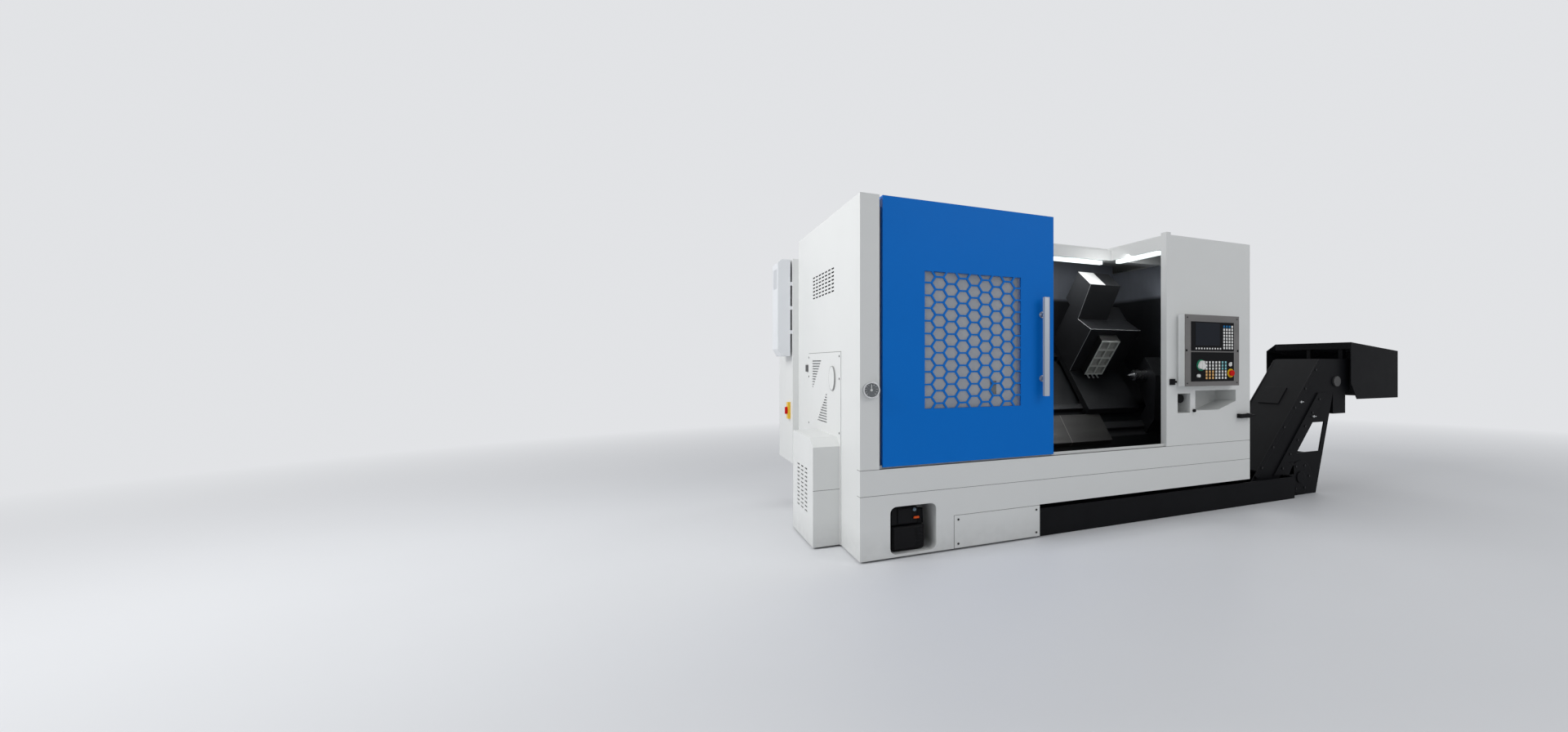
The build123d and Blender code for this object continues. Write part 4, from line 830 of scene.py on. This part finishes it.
# %% Lubrication pump
pump = bmesh.new()
add_bar(pump, (176, 40, 28), (352, 184, 158), 12, 3)
add_bar(pump, (172, 52, 162), (318, 184, 258), 10, 3)
add_bar(pump, (184, 34, 40), (300, 42, 146), 2)
add_bar(pump, (208, 44, 172), (284, 54, 250), 2)
add_disc(pump, (336, 110, 150), (0, 0, 1), 84, 30, 6)
for rib in range(6):
    add_bar(pump, (308, 37, 50 + 16 * rib), (346, 42, 58 + 16 * rib), 1.5)
finish_piece(pump, "pump_body", "machine", black_plastic, ["pump_unit"])

pump_cap = bmesh.new()
add_disc(pump_cap, (300, 52, 240), (0, -1, 0), 8, 9, 1.5, 32)
add_disc(pump_cap, (300, 44, 240), (0, -1, 0), 4, 5, 1, 24)
cap_grey = plastic("cap_grey", (0.20, 0.27, 0.33), 0.4)
finish_piece(pump_cap, "pump_cap", "machine", cap_grey)

pump_lever = bmesh.new()
add_bar(pump_lever, (294, 38, 192), (324, 52, 204), 3)
lever_orange = plastic("lever_orange", (0.75, 0.10, 0.02), 0.4)
finish_piece(pump_lever, "pump_lever", "machine", lever_orange)

# %% [markdown]
# Behind the fans of slots in the access panel lies a pale filter mat, so the slots look grey and not black.
# The wall behind could be painted grey, but then the slots would look deep. So a thin felt sheet lies in
# each opening.

# %% Filter mats
felt = Finish("filter_felt", (0.46, 0.47, 0.48), 0.9)
felt.shade(felt.noise(6, 4.0), 0.8)
felt.emboss(felt.noise(1.5, 3.0), 0.3)
mats = bmesh.new()
add_bar(mats, (4, 927, 874), (9, 1188, 1044), 1)
add_bar(mats, (4, 760, 670), (9, 1021, 840), 1)
finish_piece(mats, "filter_mats", "machine", felt.close(0))

# %% [markdown]
# The hood over the conveyor's head is folded from sheet, with its far end cut off at the top and the
# bottom. It could be built face by face, but cutting a box keeps every face flat. Each cut is closed again,
# the open sides are taken away, and the sheet gets its thickness.

# %% Conveyor hood
def cut(shape, place, normal):
    """Cut a closed shape by a plane and close the cut."""
    geometry = shape.verts[:] + shape.edges[:] + shape.faces[:]
    made = bmesh.ops.bisect_plane(shape, geom=geometry, plane_co=spot(*place), plane_no=normal,
                                  clear_outer=True)
    edges = [g for g in made["geom_cut"] if isinstance(g, bmesh.types.BMEdge)]
    bmesh.ops.edgeloop_fill(shape, edges=edges)


HOOD_LEFT, HOOD_FRONT, HOOD_LOW = 3950, 40, 735
HOOD_RIGHT, HOOD_BACK, HOOD_TOP = 4580, 960, 1203
HOOD_LENGTH = HOOD_RIGHT - HOOD_LEFT
HOOD_FALL = 66

hood = bmesh.new()
add_bar(hood, (HOOD_LEFT, HOOD_FRONT, HOOD_LOW), (HOOD_RIGHT, HOOD_BACK, HOOD_TOP))
cut(hood, (HOOD_LEFT, HOOD_FRONT, HOOD_TOP), (HOOD_FALL, 0, HOOD_LENGTH))
cut(hood, (HOOD_LEFT, HOOD_FRONT, 865), (-130, 0, -80))
cut(hood, (HOOD_LEFT, 850, HOOD_TOP), (HOOD_FALL * 110 / HOOD_LENGTH, 60, 110))
cut(hood, (HOOD_LEFT, 880, HOOD_LOW), (0, 38, -80))
bmesh.ops.recalc_face_normals(hood, faces=hood.faces)
open_faces = [f for f in hood.faces if f.normal.x < -0.5 or f.normal.z < -0.95]
bmesh.ops.delete(hood, geom=open_faces, context="FACES")
bmesh.ops.solidify(hood, geom=hood.faces, thickness=mm(8))
add_bar(hood, (HOOD_LEFT, 48, 1148), (HOOD_LEFT + 8, 850, 1195))
for post in (140, 470):
    add_bar(hood, (3970, post, 1065), (4010, post + 40, 1190))
finish_piece(hood, "folded_hood", "machine", black_coat, ["conveyor_hood"])

# %% [markdown]
# The conveyor's duct rises at a slant, and bars lie along it. Such a bar could be drawn corner by corner.
# It is easier to make a box, turn it about Y and move it to the middle of its line.

# %% A bar along the incline
def along(low, high, share):
    """A place on a line in the side view."""
    return low[0] + (high[0] - low[0]) * share, low[1] + (high[1] - low[1]) * share


def add_incline_bar(shape, low, high, front, back, height):
    """A bar along a line in the side view."""
    run = Vector((high[0] - low[0], 0, high[1] - low[1]))
    x, z = along(low, high, 0.5)
    size = Matrix.Diagonal((mm(run.length), mm(back - front), mm(height), 1))
    turn = Matrix.Rotation(-math.atan2(run.z, run.x), 4, "Y")
    place = Matrix.Translation(spot(x, (front + back) / 2, z))
    made = bmesh.ops.create_cube(shape, size=1, matrix=place @ turn @ size)
    edges = list({e for v in made["verts"] for e in v.link_edges})
    round_edges(shape, edges, 2, 2)


# %% [markdown]
# The inclined duct is bolted together from flanged sheets. A lip runs along its upper edge on each side,
# and bolts sit along the lips and the flanges in even steps, so a loop places them. Bolts this large cast a
# shadow, so they are real hexagons and no bump.

# %% Lips and bolts along the incline
DUCT_LOW = (2899, 175)
DUCT_HIGH = (3623, 1065)
FLANGE_LOW = (3193, 175)
FLANGE_HIGH = (3697, 792)
WALLS = ((100, -1), (550, 1))  # a side wall's face and the way out of it
INCLINE = math.radians(51)
LIP_HEIGHT = 34
LIP_OUT = 16
FLANGE_OUT = 14
FLANGE_INSET = 38
BOLT_RADIUS = 9
BOLT_HEAD = 7
FIRST_BOLT = 0.08
BOLT_STEP = 0.168
lip_sink = LIP_HEIGHT / 2 * Vector((math.sin(INCLINE), 0, -math.cos(INCLINE)))
lip_low = (DUCT_LOW[0] + lip_sink.x, DUCT_LOW[1] + lip_sink.z + 14)
lip_high = (DUCT_HIGH[0] + lip_sink.x - 8, DUCT_HIGH[1] + lip_sink.z - 8)

lips = bmesh.new()
bolts = bmesh.new()
for wall, out in WALLS:
    lip_face = wall + LIP_OUT * out
    add_incline_bar(lips, lip_low, lip_high, min(wall, lip_face), max(wall, lip_face), LIP_HEIGHT)
    for step in range(6):
        share = FIRST_BOLT + BOLT_STEP * step
        x, z = along(lip_low, lip_high, share)
        add_disc(bolts, (x, lip_face, z), (0, out, 0), BOLT_HEAD, BOLT_RADIUS, 1, 6)
        x, z = along(FLANGE_LOW, FLANGE_HIGH, share)
        flange_bolt = (x - FLANGE_INSET, wall + FLANGE_OUT * out, z)
        add_disc(bolts, flange_bolt, (0, out, 0), BOLT_HEAD, BOLT_RADIUS, 1, 6)
print("along the incline:", len(lips.faces), "faces of lips,", len(bolts.faces), "of bolts")

# %% [markdown]
# A round plate with a ring of bolts covers the bearing of the lower shaft, and a small plate closes the
# corner where the incline starts. They are thin sheets on the same walls, so they go into the same meshes
# as the lips and the bolts.

# %% Bearing plates and knee plates
PLATE = 8
BEARING_X = 3402
BEARING_Z = 140
BOLT_RING = 100

for wall, out in WALLS:
    plate_face = wall + PLATE * out
    add_disc(lips, (BEARING_X, wall, BEARING_Z), (0, out, 0), PLATE, 128, 2, 64)
    add_disc(lips, (BEARING_X, plate_face, BEARING_Z), (0, out, 0), 10, 46, 2)
    add_bar(lips, (3205, min(wall, plate_face), 168), (3330, max(wall, plate_face), 260), 1.5)
    for bolt in range(6):
        turn = math.radians(60 * bolt)
        x = BEARING_X + BOLT_RING * math.cos(turn)
        z = BEARING_Z + BOLT_RING * math.sin(turn)
        add_disc(bolts, (x, plate_face, z), (0, out, 0), 6, BOLT_RADIUS, 1, 6)
finish_piece(lips, "duct_lips", "machine", black_coat)

oxide = Finish("black_oxide", (0.035, 0.035, 0.037), 0.4, {"Metallic": 0.8})
oxide.roughness = oxide.noise(5, 3.0) * 0.2 + 0.32
finish_piece(bolts, "duct_bolts", "machine", oxide.close(0))

# %% [markdown]
# Two wing nuts hold the hatch on the duct. Cast wings have a curved outline, but at this size a round hub
# with two small rounded bars reads the same.

# %% Wing nuts
wing_nuts = bmesh.new()
for x, z, face in ((3409, 727, 100), (3539, 610, 86)):
    add_disc(wing_nuts, (x, face, z), (0, -1, 0), 16, 9, 2, 24)
    add_bar(wing_nuts, (x - 22, face - 22, z - 3), (x - 6, face - 6, z + 3), 2.5)
    add_bar(wing_nuts, (x + 6, face - 22, z - 3), (x + 22, face - 6, z + 3), 2.5)
finish_piece(wing_nuts, "wing_nuts", "machine", zinc_plate)

# %% [markdown]
# The floor is a plain pale disc that has no visible end. A curved backdrop would do that from one side
# only, so here the floor turns into the colour of the background away from the machine. That mix is only
# for what the camera sees and what metal and glass mirror, so it adds no light.

# %% Floor
BACKDROP = (0.76, 0.77, 0.79, 1)
FLOOR_RADIUS = 60
FADE_START = 3.6
FADE_LENGTH = 5.0

floor_shape = bmesh.new()
bmesh.ops.create_circle(floor_shape, cap_ends=True, segments=96, radius=FLOOR_RADIUS)
floor_mesh = bpy.data.meshes.new("floor")
floor_shape.to_mesh(floor_mesh)
floor_shape.free()
floor = bpy.data.objects.new("floor", floor_mesh)
bpy.context.scene.collection.objects.link(floor)

stone = Finish("pale_floor", (0.70, 0.71, 0.73), 0.55)
stone.shade(stone.noise(900, 4.0), 0.96)
floor_mesh.materials.append(stone.close(0))
away = stone.reach(stone.x, stone.y)
fade = stone.maths("MINIMUM", stone.maths("MAXIMUM", (away - FADE_START) / FADE_LENGTH, 0.0), 1.0)
lit = Value(stone, stone.shader.outputs[0])
plain = stone.node("ShaderNodeEmission", None, {"Color": BACKDROP})
mixed = stone.node("ShaderNodeMixShader", None, {0: fade * stone.seen(), 1: lit, 2: plain})
stone.feed(stone.tree.nodes["Material Output"].inputs["Surface"], mixed)
print("floor fades out between", FADE_START, "and", FADE_START + FADE_LENGTH, "m")

# %% [markdown]
# The world is an even light, a little bluish like a hall's roof lights, and it looks like the backdrop
# where it is seen. The strongest lamp stands high on the left, so the left side is nearly white and the
# front is a step darker. Lamps in the room are placed in metres from the model's origin, and the two in the
# work space are measured like the machine.

# %% World and lamps
world = bpy.data.worlds.new("studio")
world.use_nodes = True
sky = Network(world.node_tree)
even_light = sky.tree.nodes["Background"]
sky.feed(even_light.inputs["Color"], (0.95, 0.97, 1.0, 1))
sky.feed(even_light.inputs["Strength"], 0.42)
even = Value(sky, even_light.outputs[0])
backdrop = sky.node("ShaderNodeBackground", None, {"Color": BACKDROP})
choice = sky.node("ShaderNodeMixShader", None, {0: sky.seen(), 1: even, 2: backdrop})
sky.feed(sky.tree.nodes["World Output"].inputs["Surface"], choice)
bpy.context.scene.world = world


def lamp(name, place, aim, size, power):
    """A soft square lamp that faces a place."""
    light = bpy.data.lights.new(name, "AREA")
    light.size = size
    light.energy = power
    made = bpy.data.objects.new(name, light)
    made.location = place
    made.rotation_euler = (Vector(aim) - Vector(place)).to_track_quat("-Z", "Y").to_euler()
    bpy.context.scene.collection.objects.link(made)
    print(name, power, "W")


lamp("left_lamp", (-6.5, -0.8, 4.2), (-2.2, 0.0, 1.2), 3.0, 210)
lamp("front_lamp", (1.5, -6.5, 4.5), (0.5, -1.0, 0.9), 4.0, 90)
lamp("back_lamp", (4.5, 5.0, 4.5), (0.0, 0.5, 1.0), 4.0, 110)
lamp("work_lamp", spot(1570, 719, 1755), spot(1700, 900, 1000), 0.30, 4)
lamp("side_work_lamp", spot(2020, 355, 1755), spot(1900, 700, 1200), 0.20, 2)

# %% [markdown]
# The picture is shown as it is worked out, with no film look.

# %% View
bpy.context.scene.view_settings.view_transform = "Standard"
